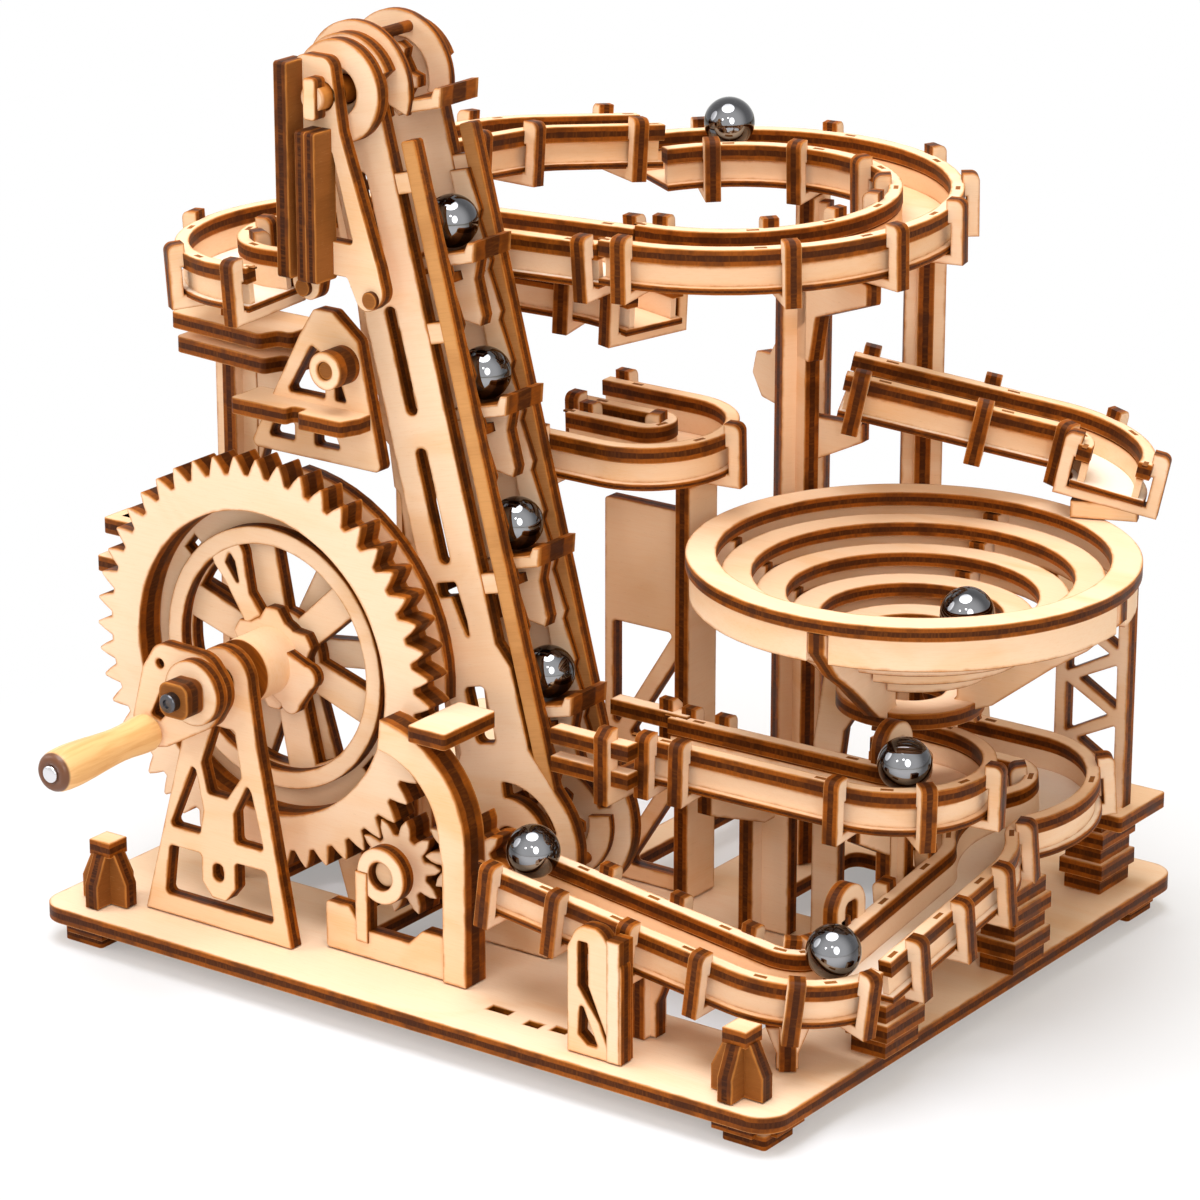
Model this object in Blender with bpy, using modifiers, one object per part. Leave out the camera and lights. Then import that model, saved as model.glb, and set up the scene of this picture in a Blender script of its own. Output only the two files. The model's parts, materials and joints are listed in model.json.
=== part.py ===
"""A hand cranked wooden marble run, built from laser cut plywood boards.

Sizes are millimetres while the boards are cut and joined, and each finished piece is stored in metres.
While the boards are cut, the origin is the middle of the base plate on the table. X runs along the front
edge and Y into the depth. At the end the whole run moves over, so that the origin lies below its middle.
"""
import math

import bmesh
import bpy
from mathutils import Matrix, Vector

MM = 0.001

# Stock and fits
PLY = 4.0
THIN_PLY = 1.6
FIT = 0.3
OVERLAP = 0.6
BALL_R = 6.35
FACET = 15.0

# Base
BASE_LONG = 216.0
BASE_DEEP = 182.0
FOOT_HIGH = 6.0
FOOT_SIDE = 15.0
BASE_TOP = FOOT_HIGH + PLY
BASE_SEAT = BASE_TOP + FIT

# Track cross-section, measured from the top of the rails
RAIL_WIDE = 3.4
RAIL_APART = 11.4
WALL_HIGH = 5.2
WALL_INSET = 1.6
CLIP_OUT = 3.6
CLIP_UP = 2.2
CLIP_BASE = 2.4
TRACK_HALF = RAIL_APART / 2 + RAIL_WIDE
FLOOR_AT = PLY + WALL_HIGH
CLIP_LOW = FLOOR_AT + THIN_PLY + FIT + CLIP_BASE
BALL_SINK = math.sqrt((BALL_R + FIT) ** 2 - (RAIL_APART / 2) ** 2)

# Crank and gears
CRANK_X = -58.0
CRANK_Z = 74.5
MODULE = 2.05
GEAR_TEETH = 48
PINION_TEETH = 10
PRESSURE = math.radians(28)
BACKLASH = 0.45
GEAR_Y = -60.0
AXLE_R = 3.2
HUB_R = 8.0
CRANK_REACH = 21.0
CRANK_Y = -84.0
STAND_Y = -76.0
HANDLE_LONG = 35.0
HANDLE_R = 5.2

# Lift
LIFT_X = 3.5
LIFT_Z = 38.0
LIFT_TILT = math.radians(14.6)
LINK_PITCH = 12.1
LINK_PITCHES = 15
CHAIN_R = 12.1
LIFT_FRONT = -45.0
LIFT_BACK = -23.0
LIFT_MID = (LIFT_FRONT + LIFT_BACK) / 2
LIFT_LONG = LINK_PITCH * LINK_PITCHES
LINK_PLY = 2.0
LINK_WIDE = 6.4
PLATE_HALF = 8.6
GUIDE_WIDE = 4.0

# Funnel
FUNNEL_X = 80.0
FUNNEL_Y = 8.0
FUNNEL_Z = 110.0
FUNNEL_RADII = (53.0, 44.7, 36.6, 28.5, 20.4)
RING_WIDE = 7.2
RING_STEP = 4.9
RING_PLY = 3.4

GEAR_R = MODULE * GEAR_TEETH / 2
PINION_R = MODULE * PINION_TEETH / 2

for leftover in list(bpy.data.objects):
    bpy.data.objects.remove(leftover)
parts = bpy.data.collections.new("marble_run")
bpy.context.scene.collection.children.link(parts)
bench = bpy.data.collections.new("bench")
bpy.context.scene.collection.children.link(bench)


# Materials

def material(name, colour, roughness, metallic=0.0):
    made = bpy.data.materials.new(name)
    made.use_nodes = True
    shader = made.node_tree.nodes["Principled BSDF"]
    shader.inputs["Base Color"].default_value = (*colour, 1.0)
    shader.inputs["Roughness"].default_value = roughness
    shader.inputs["Metallic"].default_value = metallic
    return made


BIRCH = material("birch_ply", (0.80, 0.62, 0.40), 0.55)
DARK_BIRCH = material("scorched_ply", (0.34, 0.19, 0.09), 0.6)
BEECH = material("turned_beech", (0.72, 0.47, 0.22), 0.42)
STEEL = material("polished_steel", (0.62, 0.62, 0.64), 0.12, 1.0)


# Outlines

def arc(x, y, radius, start, end, facet=FACET):
    steps = max(1, math.ceil(abs(end - start) / facet))
    angles = [math.radians(start + (end - start) * i / steps) for i in range(steps + 1)]
    return [(x + radius * math.cos(a), y + radius * math.sin(a)) for a in angles]


def circle(x, y, radius, sides=16):
    return arc(x, y, radius, 0, 360, 360 / sides)[:-1]


def rounded(points, radius, facet=90.0):
    """The outline with each corner rounded; a corner may bring a radius of its own as a third value."""
    made = []
    count = len(points)
    for i in range(count):
        corner = Vector(points[i][:2])
        before = Vector(points[i - 1][:2]) - corner
        after = Vector(points[(i + 1) % count][:2]) - corner
        wanted = points[i][2] if len(points[i]) > 2 else radius
        angle = before.angle(after)
        if wanted <= 0 or angle > math.radians(176):
            made.append(tuple(corner))
            continue
        reach = min(wanted / math.tan(angle / 2), 0.46 * before.length, 0.46 * after.length)
        radius_here = reach * math.tan(angle / 2)
        centre = corner + (before.normalized() + after.normalized()).normalized() * (radius_here / math.sin(angle / 2))
        first = corner + before.normalized() * reach - centre
        last = corner + after.normalized() * reach - centre
        turn = math.degrees(first.angle_signed(last))
        start = math.degrees(math.atan2(first.y, first.x))
        made += arc(centre.x, centre.y, radius_here, start, start - turn, facet)
    return made


def box(x0, y0, x1, y1, radius=0.0):
    return rounded([(x0, y0), (x1, y0), (x1, y1), (x0, y1)], radius)


def bar(x0, y0, x1, y1, wide, radius=0.0):
    """A straight strip from one point to the other."""
    along = Vector((x1 - x0, y1 - y0)).normalized()
    side = Vector((-along.y, along.x)) * (wide / 2)
    start, end = Vector((x0, y0)), Vector((x1, y1))
    return rounded([tuple(start - side), tuple(end - side), tuple(end + side), tuple(start + side)], radius)


def slot(x0, y0, x1, y1, wide):
    return bar(x0, y0, x1, y1, wide, wide * 0.46)


# Frames: local x and y lie in the board, local z is its thickness

def frame(origin, x_axis, y_axis):
    x_axis, y_axis = Vector(x_axis).normalized(), Vector(y_axis).normalized()
    normal = x_axis.cross(y_axis)
    made = Matrix((x_axis, y_axis, normal)).transposed().to_4x4()
    made.translation = Vector(origin)
    return made


def facing_front(y, x=0.0, z=0.0):
    return frame((x, y, z), (1, 0, 0), (0, 0, 1))


def facing_side(x, y=0.0, z=0.0):
    return frame((x, y, z), (0, 1, 0), (0, 0, 1))


def lying(z, x=0.0, y=0.0):
    return frame((x, y, z), (1, 0, 0), (0, 1, 0))


def upright(x, y, z, heading):
    """A standing board whose local x runs along the heading, in degrees from X."""
    turn = math.radians(heading)
    return frame((x, y, z), (math.cos(turn), math.sin(turn), 0), (0, 0, 1))


def lift_frame(y):
    """Local x points out of the carrying side of the lift and local y runs up it."""
    lean = LIFT_TILT
    return frame((LIFT_X, y, LIFT_Z), (math.cos(lean), 0, math.sin(lean)),
                 (-math.sin(lean), 0, math.cos(lean)))


# Solids

def evaluated_mesh(obj):
    bpy.context.view_layer.update()
    graph = bpy.context.evaluated_depsgraph_get()
    return bpy.data.meshes.new_from_object(obj.evaluated_get(graph))


def board(outlines, thick, place):
    """A flat board cut along the outlines: the first is its edge and the others are its holes."""
    curve = bpy.data.curves.new("outline", "CURVE")
    curve.dimensions = "2D"
    curve.fill_mode = "BOTH"
    curve.extrude = thick / 2
    for points in outlines:
        spline = curve.splines.new("POLY")
        spline.points.add(len(points) - 1)
        for point, (x, y) in zip(spline.points, points):
            point.co = (x, y, 0, 1)
        spline.use_cyclic_u = True
    obj = bpy.data.objects.new("outline", curve)
    bench.objects.link(obj)
    mesh = evaluated_mesh(obj)
    bpy.data.objects.remove(obj)
    bpy.data.curves.remove(curve)
    shape = bmesh.new()
    shape.from_mesh(mesh)
    bmesh.ops.remove_doubles(shape, verts=shape.verts, dist=0.0005)
    shape.transform(place)
    bmesh.ops.recalc_face_normals(shape, faces=shape.faces)
    shape.to_mesh(mesh)
    shape.free()
    return mesh


def turned(profile, place, sides=24):
    """A turned piece: the profile is (radius, height) from its lower to its upper end on the axis."""
    mesh = bpy.data.meshes.new("turned")
    shape = bmesh.new()
    points = [shape.verts.new((radius, 0, height)) for radius, height in profile]
    for first, second in zip(points, points[1:]):
        shape.edges.new((first, second))
    shape.to_mesh(mesh)
    shape.free()
    obj = bpy.data.objects.new("turned", mesh)
    bench.objects.link(obj)
    screw = obj.modifiers.new("turn", "SCREW")
    screw.steps = sides
    screw.render_steps = sides
    screw.use_merge_vertices = True
    screw.merge_threshold = 0.0001
    screw.use_normal_flip = False
    made = evaluated_mesh(obj)
    bpy.data.objects.remove(obj)
    bpy.data.meshes.remove(mesh)
    shape = bmesh.new()
    shape.from_mesh(made)
    bmesh.ops.remove_doubles(shape, verts=shape.verts, dist=0.0005)
    shape.transform(place)
    bmesh.ops.recalc_face_normals(shape, faces=shape.faces)
    shape.to_mesh(made)
    shape.free()
    return made


def along_y(x, z, y):
    """A frame whose local z runs towards the front, for discs and shafts on an axis along Y."""
    return frame((x, y, z), (1, 0, 0), (0, 0, 1))


def shaft(x, z, y_front, y_back, radius, sides=12):
    """A round bar along Y."""
    return board([circle(0, 0, radius, sides)], y_back - y_front, along_y(x, z, (y_front + y_back) / 2))


def union(meshes):
    if len(meshes) == 1:
        return meshes[0]
    group = bpy.data.collections.new("joined")
    bench.children.link(group)
    objects = [bpy.data.objects.new("piece", mesh) for mesh in meshes]
    bench.objects.link(objects[0])
    for obj in objects[1:]:
        group.objects.link(obj)
    join = objects[0].modifiers.new("join", "BOOLEAN")
    join.operation = "UNION"
    join.solver = "EXACT"
    join.operand_type = "COLLECTION"
    join.collection = group
    made = evaluated_mesh(objects[0])
    for obj in objects:
        bpy.data.objects.remove(obj)
    bpy.data.collections.remove(group)
    return made


def piece(name, meshes, look=BIRCH, origin=(0, 0, 0), smooth=False):
    """One named node, with its origin at the given point in millimetres."""
    mesh = union(meshes)
    mesh.transform(Matrix.Translation(-Vector(origin)))
    mesh.transform(Matrix.Scale(MM, 4))
    mesh.materials.clear()
    mesh.materials.append(look)
    if smooth:
        mesh.polygons.foreach_set("use_smooth", [True] * len(mesh.polygons))
    mesh.name = name
    obj = bpy.data.objects.new(name, mesh)
    obj.location = Vector(origin) * MM
    parts.objects.link(obj)
    return obj


# Base

def base():
    half_x, half_y = BASE_LONG / 2, BASE_DEEP / 2
    edge = rounded([(-half_x, -half_y), (half_x, -half_y), (half_x, half_y), (-half_x, half_y)], 7, 45)
    windows = [
        box(-74, -44, -44, -18, 3),
        box(-31, -63, -13, -14, 3),
        box(26, -56, 78, -16, 4),
        box(-84, 12, -14, 74, 4),
        box(-6, 18, 14, 70, 3),
        box(36, 12, 68, 54, 3),
        box(20, -78, 26, -75.5),
        box(32, -80, 36, -77.5),
        box(39, -79, 43, -76.5),
    ]
    piece("base_plate", [board([edge, *windows], PLY, lying(FOOT_HIGH + PLY / 2))])
    inset = 3.0
    for name_x, sign_x in (("left", -1), ("right", 1)):
        for name_y, sign_y in (("front", -1), ("back", 1)):
            x = sign_x * (half_x - inset - FOOT_SIDE / 2)
            y = sign_y * (half_y - inset - FOOT_SIDE / 2)
            layer = (FOOT_HIGH - FIT) / 2
            small = FOOT_SIDE / 2 - 1.6
            big = FOOT_SIDE / 2
            lower = board([rounded([(-small, -small), (small, -small), (small, small), (-small, small)],
                                   1)],
                          layer + OVERLAP, lying(layer / 2 + OVERLAP / 2, x, y))
            notch = 4.0
            cross = [(-big, -big + notch), (-big + notch, -big + notch), (-big + notch, -big), (big, -big),
                     (big, big - notch), (big - notch, big - notch), (big - notch, big), (-big, big)]
            if sign_x * sign_y < 0:
                cross = [(-px, py) for px, py in reversed(cross)]
            upper = board([cross], layer, lying(layer * 1.5, x, y))
            piece(f"foot_{name_y}_{name_x}", [lower, upper])


def ornament(name, x, y):
    """Two interlocked shouldered boards and a small cap, as in the photo's front corners."""
    high, half = 13.0, 7.0
    shoulder = [(-half, 0), (half, 0), (half, high * 0.45), (3.6, high), (-3.6, high), (-half, high * 0.45)]
    low = BASE_SEAT
    pieces = [
        board([shoulder], PLY, upright(x, y, low, 0)),
        board([[(px * 0.98, py * 0.99) for px, py in shoulder]], PLY, upright(x, y, low, 90)),
        board([box(-3.2, -3.2, 3.2, 3.2)], PLY, lying(low + high + PLY / 2 - OVERLAP, x, y)),
    ]
    piece(name, pieces)


# Tracks

def route(start, heading, moves, facet=22.5):
    """Points along a path of straights and turns, each as (x, y, heading, distance)."""
    x, y = start
    angle = math.radians(heading)
    gone = 0.0
    points = [(x, y, angle, gone)]
    for kind, *values in moves:
        if kind == "go":
            x += values[0] * math.cos(angle)
            y += values[0] * math.sin(angle)
            gone += values[0]
            points.append((x, y, angle, gone))
            continue
        radius, degrees = values
        steps = max(1, math.ceil(abs(degrees) / facet - 1e-6))
        step = math.radians(degrees / steps)
        side = math.copysign(1, degrees)
        for _ in range(steps):
            cx, cy = x - side * radius * math.sin(angle), y + side * radius * math.cos(angle)
            angle += step
            x, y = cx + side * radius * math.sin(angle), cy - side * radius * math.cos(angle)
            gone += abs(step) * radius
            points.append((x, y, angle, gone))
    return points


def ribbon(points, inner, outer):
    """The outline between two offsets from the path; positive is left of travel."""
    left = [(x - outer * math.sin(a), y + outer * math.cos(a)) for x, y, a, _ in points]
    right = [(x - inner * math.sin(a), y + inner * math.cos(a)) for x, y, a, _ in points]
    return left + right[::-1]


def at(points, distance):
    for (x0, y0, a0, d0), (x1, y1, a1, d1) in zip(points, points[1:]):
        if distance <= d1 + 1e-6:
            share = (distance - d0) / (d1 - d0)
            return x0 + (x1 - x0) * share, y0 + (y1 - y0) * share, a0 + (a1 - a0) * share
    return points[-1][:3]


def trimmed(points, start, end):
    """The path between two distances."""
    inside = [p for p in points if start + 0.01 < p[3] < end - 0.01]
    return [(*at(points, start), start), *inside, (*at(points, end), end)]


def tilted(x, y, z, slope_x, slope_y):
    """The plane of a track: height z at (x, y) with the given slopes, as a frame that keeps plan positions."""
    normal = Vector((-slope_x, -slope_y, 1)).normalized()
    turn = Vector((0, 0, 1)).rotation_difference(normal).to_matrix().to_4x4()
    return Matrix.Translation((x, y, z)) @ turn @ Matrix.Translation((-x, -y, 0))


def clip_outline(gap):
    """A U shaped clip that hugs both rails and passes under the floor."""
    out, under = TRACK_HALF + CLIP_OUT, -(FLOOR_AT + THIN_PLY + gap)
    free = TRACK_HALF + max(gap, 0.5)
    hold = TRACK_HALF - OVERLAP
    half = [(out, -CLIP_LOW), (out, CLIP_UP, 2.4), (hold, CLIP_UP), (hold, -PLY + 0.5),
            (free, -PLY + 0.5), (free, under)]
    return rounded(half + [(-x, *rest) for x, *rest in reversed(half)], 0, 90)


class Track:
    """A track in one plane: two rails, a floor with two low walls, and clips at the given distances."""

    def __init__(self, plane, points, clips, fused):
        self.plane, self.points, self.clips = plane, points, clips
        self.gap = -OVERLAP if fused else FIT
        self.fused = fused

    def rails(self):
        low = RAIL_APART / 2
        boards = []
        for inner, outer in ((low, TRACK_HALF), (-TRACK_HALF, -low)):
            place = self.plane @ Matrix.Translation((0, 0, -PLY / 2))
            boards.append(board([ribbon(self.points, inner, outer)], PLY, place))
        for distance in self.clips:
            boards.append(board([clip_outline(self.gap)], PLY, self.across(distance)))
        return boards

    def across(self, distance):
        """The frame of a board that stands across the track."""
        x, y, angle = at(self.points, distance)
        local = frame((x, y, 0), (-math.sin(angle), math.cos(angle), 0), (0, 0, 1))
        return self.plane @ local

    def floor(self):
        inside = TRACK_HALF - WALL_INSET
        end = self.points[-1][3]
        path = trimmed(self.points, 0.8, end - 0.8)
        top = -PLY - self.gap
        high = FLOOR_AT - OVERLAP * 0.5 + top + OVERLAP
        mid = top - high / 2
        boards = [board([ribbon(self.points, -TRACK_HALF, TRACK_HALF)], THIN_PLY,
                        self.plane @ Matrix.Translation((0, 0, -FLOOR_AT - THIN_PLY / 2)))]
        for inner, outer in ((inside - THIN_PLY, inside), (-inside, THIN_PLY - inside)):
            boards.append(board([ribbon(path, inner, outer)], high,
                                self.plane @ Matrix.Translation((0, 0, mid))))
        return boards

    def point(self, distance, height=0.0):
        x, y, _ = at(self.points, distance)
        return self.plane @ Vector((x, y, height))

    def under(self, distance):
        """Where a post may stand below the clip at this distance."""
        x, y, z = self.point(distance, -CLIP_LOW)
        return x, y, z - FIT


def build_track(name, track, supports=()):
    if track.fused:
        piece(f"{name}_track", track.rails() + track.floor() + list(supports))
    else:
        piece(f"{name}_rails", track.rails() + list(supports))
        piece(f"{name}_floor", track.floor())


RING_X = 8.5
RING_Y = 37.5
RING_R = 46.5
RING_Z = 181.0
RING_START = 150.0
LOOP_R = 25.0
LOOP_X = -62.0
LOOP_NEAR = 6.0
MAIN_CLIP = 133.0
LOOP_END_X = 88.0
LOOP_END_Y = -12.0


def on_ring(degrees):
    turn = math.radians(degrees)
    return RING_X + RING_R * math.cos(turn), RING_Y + RING_R * math.sin(turn)


def make_tracks():
    found = {}
    begin = on_ring(RING_START)
    heading = RING_START - 90
    ring = route(begin, heading, [("turn", RING_R, -240)], FACET)
    ring_long = ring[-1][3]
    found["upper_ring"] = Track(tilted(RING_X, RING_Y, RING_Z, 0.0, 0.03), ring,
                                [14, 42, 70, 92, 112, MAIN_CLIP, 156, ring_long - 6], False)
    back = math.radians(heading)
    lead = 27.0
    run = (begin[0] - lead * math.cos(back), begin[1] - lead * math.sin(back))
    start = route(run, heading + 180, [("turn", 34.0, 30), ("go", 28.0)])
    start = [(x, y, a - math.pi, start[-1][3] - d) for x, y, a, d in reversed(start)]
    start = start + [(*begin, back, start[-1][3] + lead)]
    found["start"] = Track(tilted(*begin, RING_Z + 6.4, 0, -0.09), trimmed(start, 0, start[-1][3] - 0.5),
                           [8, 30, start[-1][3] - 8.5], True)
    exit_x, exit_y = on_ring(-90)
    loop = route((exit_x - 0.5, exit_y), 180, [("go", exit_x - 0.5 - LOOP_X), ("turn", LOOP_R, 180),
                                               ("go", LOOP_NEAR)])
    found["left_loop"] = Track(tilted(exit_x, exit_y, RING_Z - 2.4, 0.045, 0.04), loop,
                               [3, 62, 88, 112, 134, loop[-1][3] - 3], True)
    inner = route((-44, 8), 12, [("go", 26), ("turn", 40, -24), ("go", 6)])
    found["inner"] = Track(tilted(-44, 8, 163, -0.05, 0), inner, [4, 26, inner[-1][3] - 4], True)
    u_turn = route((-20, 17.6), 0, [("go", 27), ("turn", 12.4, -180), ("go", 20)])
    found["u_turn"] = Track(tilted(0, 0, 130, -0.0, 0.04), u_turn, [4, 45, u_turn[-1][3] - 4], True)
    long = route((40, 42), 26, [("go", 52), ("turn", 15.0, -98), ("go", 2)])
    found["long"] = Track(tilted(40, 42, 141, -0.2, -0.05), long, [4, 34, 60, long[-1][3] - 3], False)
    low = route((LOOP_END_X - 10, LOOP_END_Y + 15), 0, [("go", 10), ("turn", 15, -176), ("go", 55)])
    found["loop"] = Track(tilted(LOOP_END_X, LOOP_END_Y, 68, -0.02, 0), low,
                          [5, 31, 44, 57, 98, low[-1][3] - 4], False)
    side = route((61, 52), 0, [("go", 26), ("turn", 16, -90), ("turn", 16, -36), ("turn", 16, 36),
                               ("turn", 16, 36), ("turn", 16, -36), ("go", 49)])
    found["side"] = Track(tilted(61, 52, 50, 0, 0.15), side,
                          [5, 40, 74, 94, 112, side[-1][3] - 9], True)
    end_x, end_y, _, _ = side[-1]
    front = route((end_x, end_y - 0.5), -90, [("turn", 16, -90), ("go", 70)])
    found["front"] = Track(tilted(end_x - 88, end_y - 16, 45.0, -0.125, 0), front,
                           [4, 15, 32, 52, 72, 91], False)
    return found


TRACKS = make_tracks()


# Crank drive

def involute(radius):
    return math.tan(math.acos(radius)) - math.acos(radius)


def gear_outline(teeth, turn=0.0, flank=3):
    """Involute teeth, rounded at the root, with the backlash taken off each flank."""
    pitch = MODULE * teeth / 2
    base = pitch * math.cos(PRESSURE)
    tip = pitch + 0.92 * MODULE
    root = pitch - 1.18 * MODULE
    start = max(base, root + 0.25)
    half = math.pi / 2 / teeth - BACKLASH / 2 / pitch
    reference = involute(math.cos(PRESSURE))
    points = []
    for tooth in range(teeth):
        middle = turn + 2 * math.pi * tooth / teeth
        side = []
        for i in range(flank):
            radius = start + (tip - start) * i / (flank - 1)
            angle = half + reference - involute(base / radius)
            side.append((radius, angle))
        gap = math.pi / teeth
        foot = min(side[0][1] + 0.3 * (gap - side[0][1]), gap * 0.9)
        profile = [(root, -foot), *[(r, -a) for r, a in side], *side[::-1], (root, foot)]
        points += [(r * math.cos(middle + a), r * math.sin(middle + a)) for r, a in profile]
    return points


def pinion_centres():
    """The idler and the lift gear: the idler meshes with the crank gear and with the lift gear."""
    gap_x, gap_z = LIFT_X - CRANK_X, LIFT_Z - CRANK_Z
    apart = math.hypot(gap_x, gap_z)
    first, second = GEAR_R + PINION_R, 2 * PINION_R
    swing = math.acos((first ** 2 + apart ** 2 - second ** 2) / (2 * first * apart))
    angle = math.atan2(gap_z, gap_x) - swing
    return CRANK_X + first * math.cos(angle), CRANK_Z + first * math.sin(angle), angle


IDLER_X, IDLER_Z, MESH_ANGLE = pinion_centres()


def drive():
    gear_half = PLY
    rim_in = GEAR_R * 0.77
    place = along_y(CRANK_X, CRANK_Z, GEAR_Y)
    pivot = (CRANK_X, GEAR_Y, CRANK_Z)
    rim = board([gear_outline(GEAR_TEETH, MESH_ANGLE), circle(0, 0, rim_in, 32)],
                PLY * 2, place)
    piece("crank_gear_rim", [rim], origin=pivot)
    wheel_r = rim_in + 3.0
    wheel_y = GEAR_Y + gear_half + PLY / 2 + FIT
    spokes = 6
    holes = []
    for i in range(spokes):
        middle = 360 / spokes * i + 12
        wide = 360 / spokes / 2
        outer = arc(0, 0, rim_in * 0.735, middle - wide + 9, middle + wide - 9, 14)
        inner = arc(0, 0, rim_in * 0.31, middle + wide - 20, middle - wide + 20, 20)
        holes.append(outer + inner)
    for i in range(6):
        turn = math.radians(60 * i + 20)
        x, y = rim_in * 0.93 * math.cos(turn), rim_in * 0.93 * math.sin(turn)
        holes.append(bar(x - 2.4 * math.sin(turn), y + 2.4 * math.cos(turn),
                         x + 2.4 * math.sin(turn), y - 2.4 * math.cos(turn), 2.6))
    bore = circle(0, 0, AXLE_R + FIT, 14)
    back = board([circle(0, 0, wheel_r, 32), bore, *holes], PLY, along_y(CRANK_X, CRANK_Z, wheel_y))
    hoop = board([circle(0, 0, rim_in * 0.865, 30), circle(0, 0, rim_in * 0.75, 30)], PLY,
                 along_y(CRANK_X, CRANK_Z, wheel_y - PLY + OVERLAP))
    star = []
    for i in range(12):
        reach = 12.8 if i % 2 else 10.4
        star += arc(0, 0, reach, 30 * i - 8, 30 * i + 8, 18)
    hub = board([star, bore], PLY, along_y(CRANK_X, CRANK_Z, wheel_y - PLY + OVERLAP))
    sleeve = board([circle(0, 0, HUB_R, 20), bore], 14, along_y(CRANK_X, CRANK_Z, wheel_y - 10))
    crook = [(-8.2, 7.2), (-14.5, 17), (-17.6, 20.5)] + arc(-13.4, 23.4, 5.0, 200, 0, 25)
    crook += [(-7.0, 15), (-3.2, 10.2)]
    arm = board([rounded(crook, 0.8), rounded([(-14.2, 21.5), (-12.8, 24.4), (-11.2, 22.4), (-9.6, 15.4)],
                                              0.5)],
                PLY - 0.2, along_y(CRANK_X, CRANK_Z, wheel_y - PLY + OVERLAP))
    lobes = arc(12.6, -1.5, 3.0, -60, 90, 30) + arc(0, 0, 6.6, 50, 270, 20) + arc(7.6, -8.6, 3.0, 200, 350,
                                                                                  30)
    lever = board([rounded(lobes, 0.5), bore], PLY - 0.4,
                  along_y(CRANK_X, CRANK_Z, wheel_y - 2 * PLY + 2 * OVERLAP))
    piece("crank_gear_wheel", [back, hoop, hub, arm, lever, sleeve], origin=(CRANK_X, wheel_y, CRANK_Z))



def mesh_turn(teeth, facing):
    """The turn that puts a gap between two teeth towards the given direction."""
    return facing + math.pi / teeth


def crank():
    nut_y = CRANK_Y - PLY * 1.5 + OVERLAP - FIT - 3.0
    axle_front, axle_back = nut_y - 2.0, GEAR_Y + 16.0
    pivot = (CRANK_X, CRANK_Y, CRANK_Z)
    octagon = rounded(box(-4.3, -4.3, 4.3, 4.3), 2.5, 90)
    nut = board([octagon], 6.0, along_y(CRANK_X, CRANK_Z, nut_y))
    rod = shaft(CRANK_X, CRANK_Z, axle_front, axle_back, AXLE_R, 12)
    screw = turned([(0, 0), (2.3, 0), (2.3, 2.6), (1.6, 3.0), (0, 3.0)],
                   frame((CRANK_X, nut_y - 2.4, CRANK_Z), (1, 0, 0), (0, 0, 1)), 10)
    piece("crank_axle", [rod, nut, screw], DARK_BIRCH, pivot)
    hole = circle(0, 0, AXLE_R + FIT, 16)
    reach = CRANK_REACH
    lean = math.radians(219)
    tip = (reach * math.cos(lean), reach * math.sin(lean))
    pin = (-12.2, 4.0)
    frame_outline = rounded([(2.5, 8.6, 6), (pin[0] - 1, pin[1] + 5.2, 4.4),
                             (pin[0] - 5.6, pin[1] - 2, 3.4),
                             (tip[0] - 5, tip[1] + 2, 3), (tip[0] - 2.5, tip[1] - 5.4, 3.4),
                             (tip[0] + 5.5, tip[1] - 3.6, 3), (3.5, -8.8, 7), (9.0, 0, 7)], 3)
    window = rounded([(pin[0] + 0.6, pin[1] - 5.4), (-7.0, -4.6), (-12.6, -10.4), (-15.6, -9.6)], 0.7)
    arm = board([frame_outline, hole, circle(*pin, 1.2, 8), window], PLY,
                along_y(CRANK_X, CRANK_Z, CRANK_Y))
    disc = board([circle(0, 0, HUB_R, 20), hole], PLY, along_y(CRANK_X, CRANK_Z, CRANK_Y - PLY + OVERLAP))
    piece("crank_arm", [arm, disc], origin=pivot)
    grip_x, grip_z = CRANK_X + tip[0] + 0.5, CRANK_Z + tip[1] - 0.5
    seat = CRANK_Y - PLY / 2
    root = (grip_x, seat, grip_z)
    shape = [(0, 0), (3.7, 0), (4.5, 1.2), (4.6, 4), (4.1, 10), (4.5, 18), (HANDLE_R, HANDLE_LONG * 0.78),
             (HANDLE_R - 0.1, HANDLE_LONG - 2), (4.2, HANDLE_LONG), (0, HANDLE_LONG)]
    grip = turned(shape, frame((grip_x, seat - FIT, grip_z), (1, 0, 0), (0, 0, 1)), 20)
    end = turned([(0, -0.5), (2.2, -0.5), (2.2, 0.5), (1.6, 0.8), (0, 0.8)],
                 frame((grip_x, seat - FIT - HANDLE_LONG, grip_z), (1, 0, 0), (0, 0, 1)), 10)
    piece("crank_handle", [grip, end], BEECH, root, True)


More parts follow.
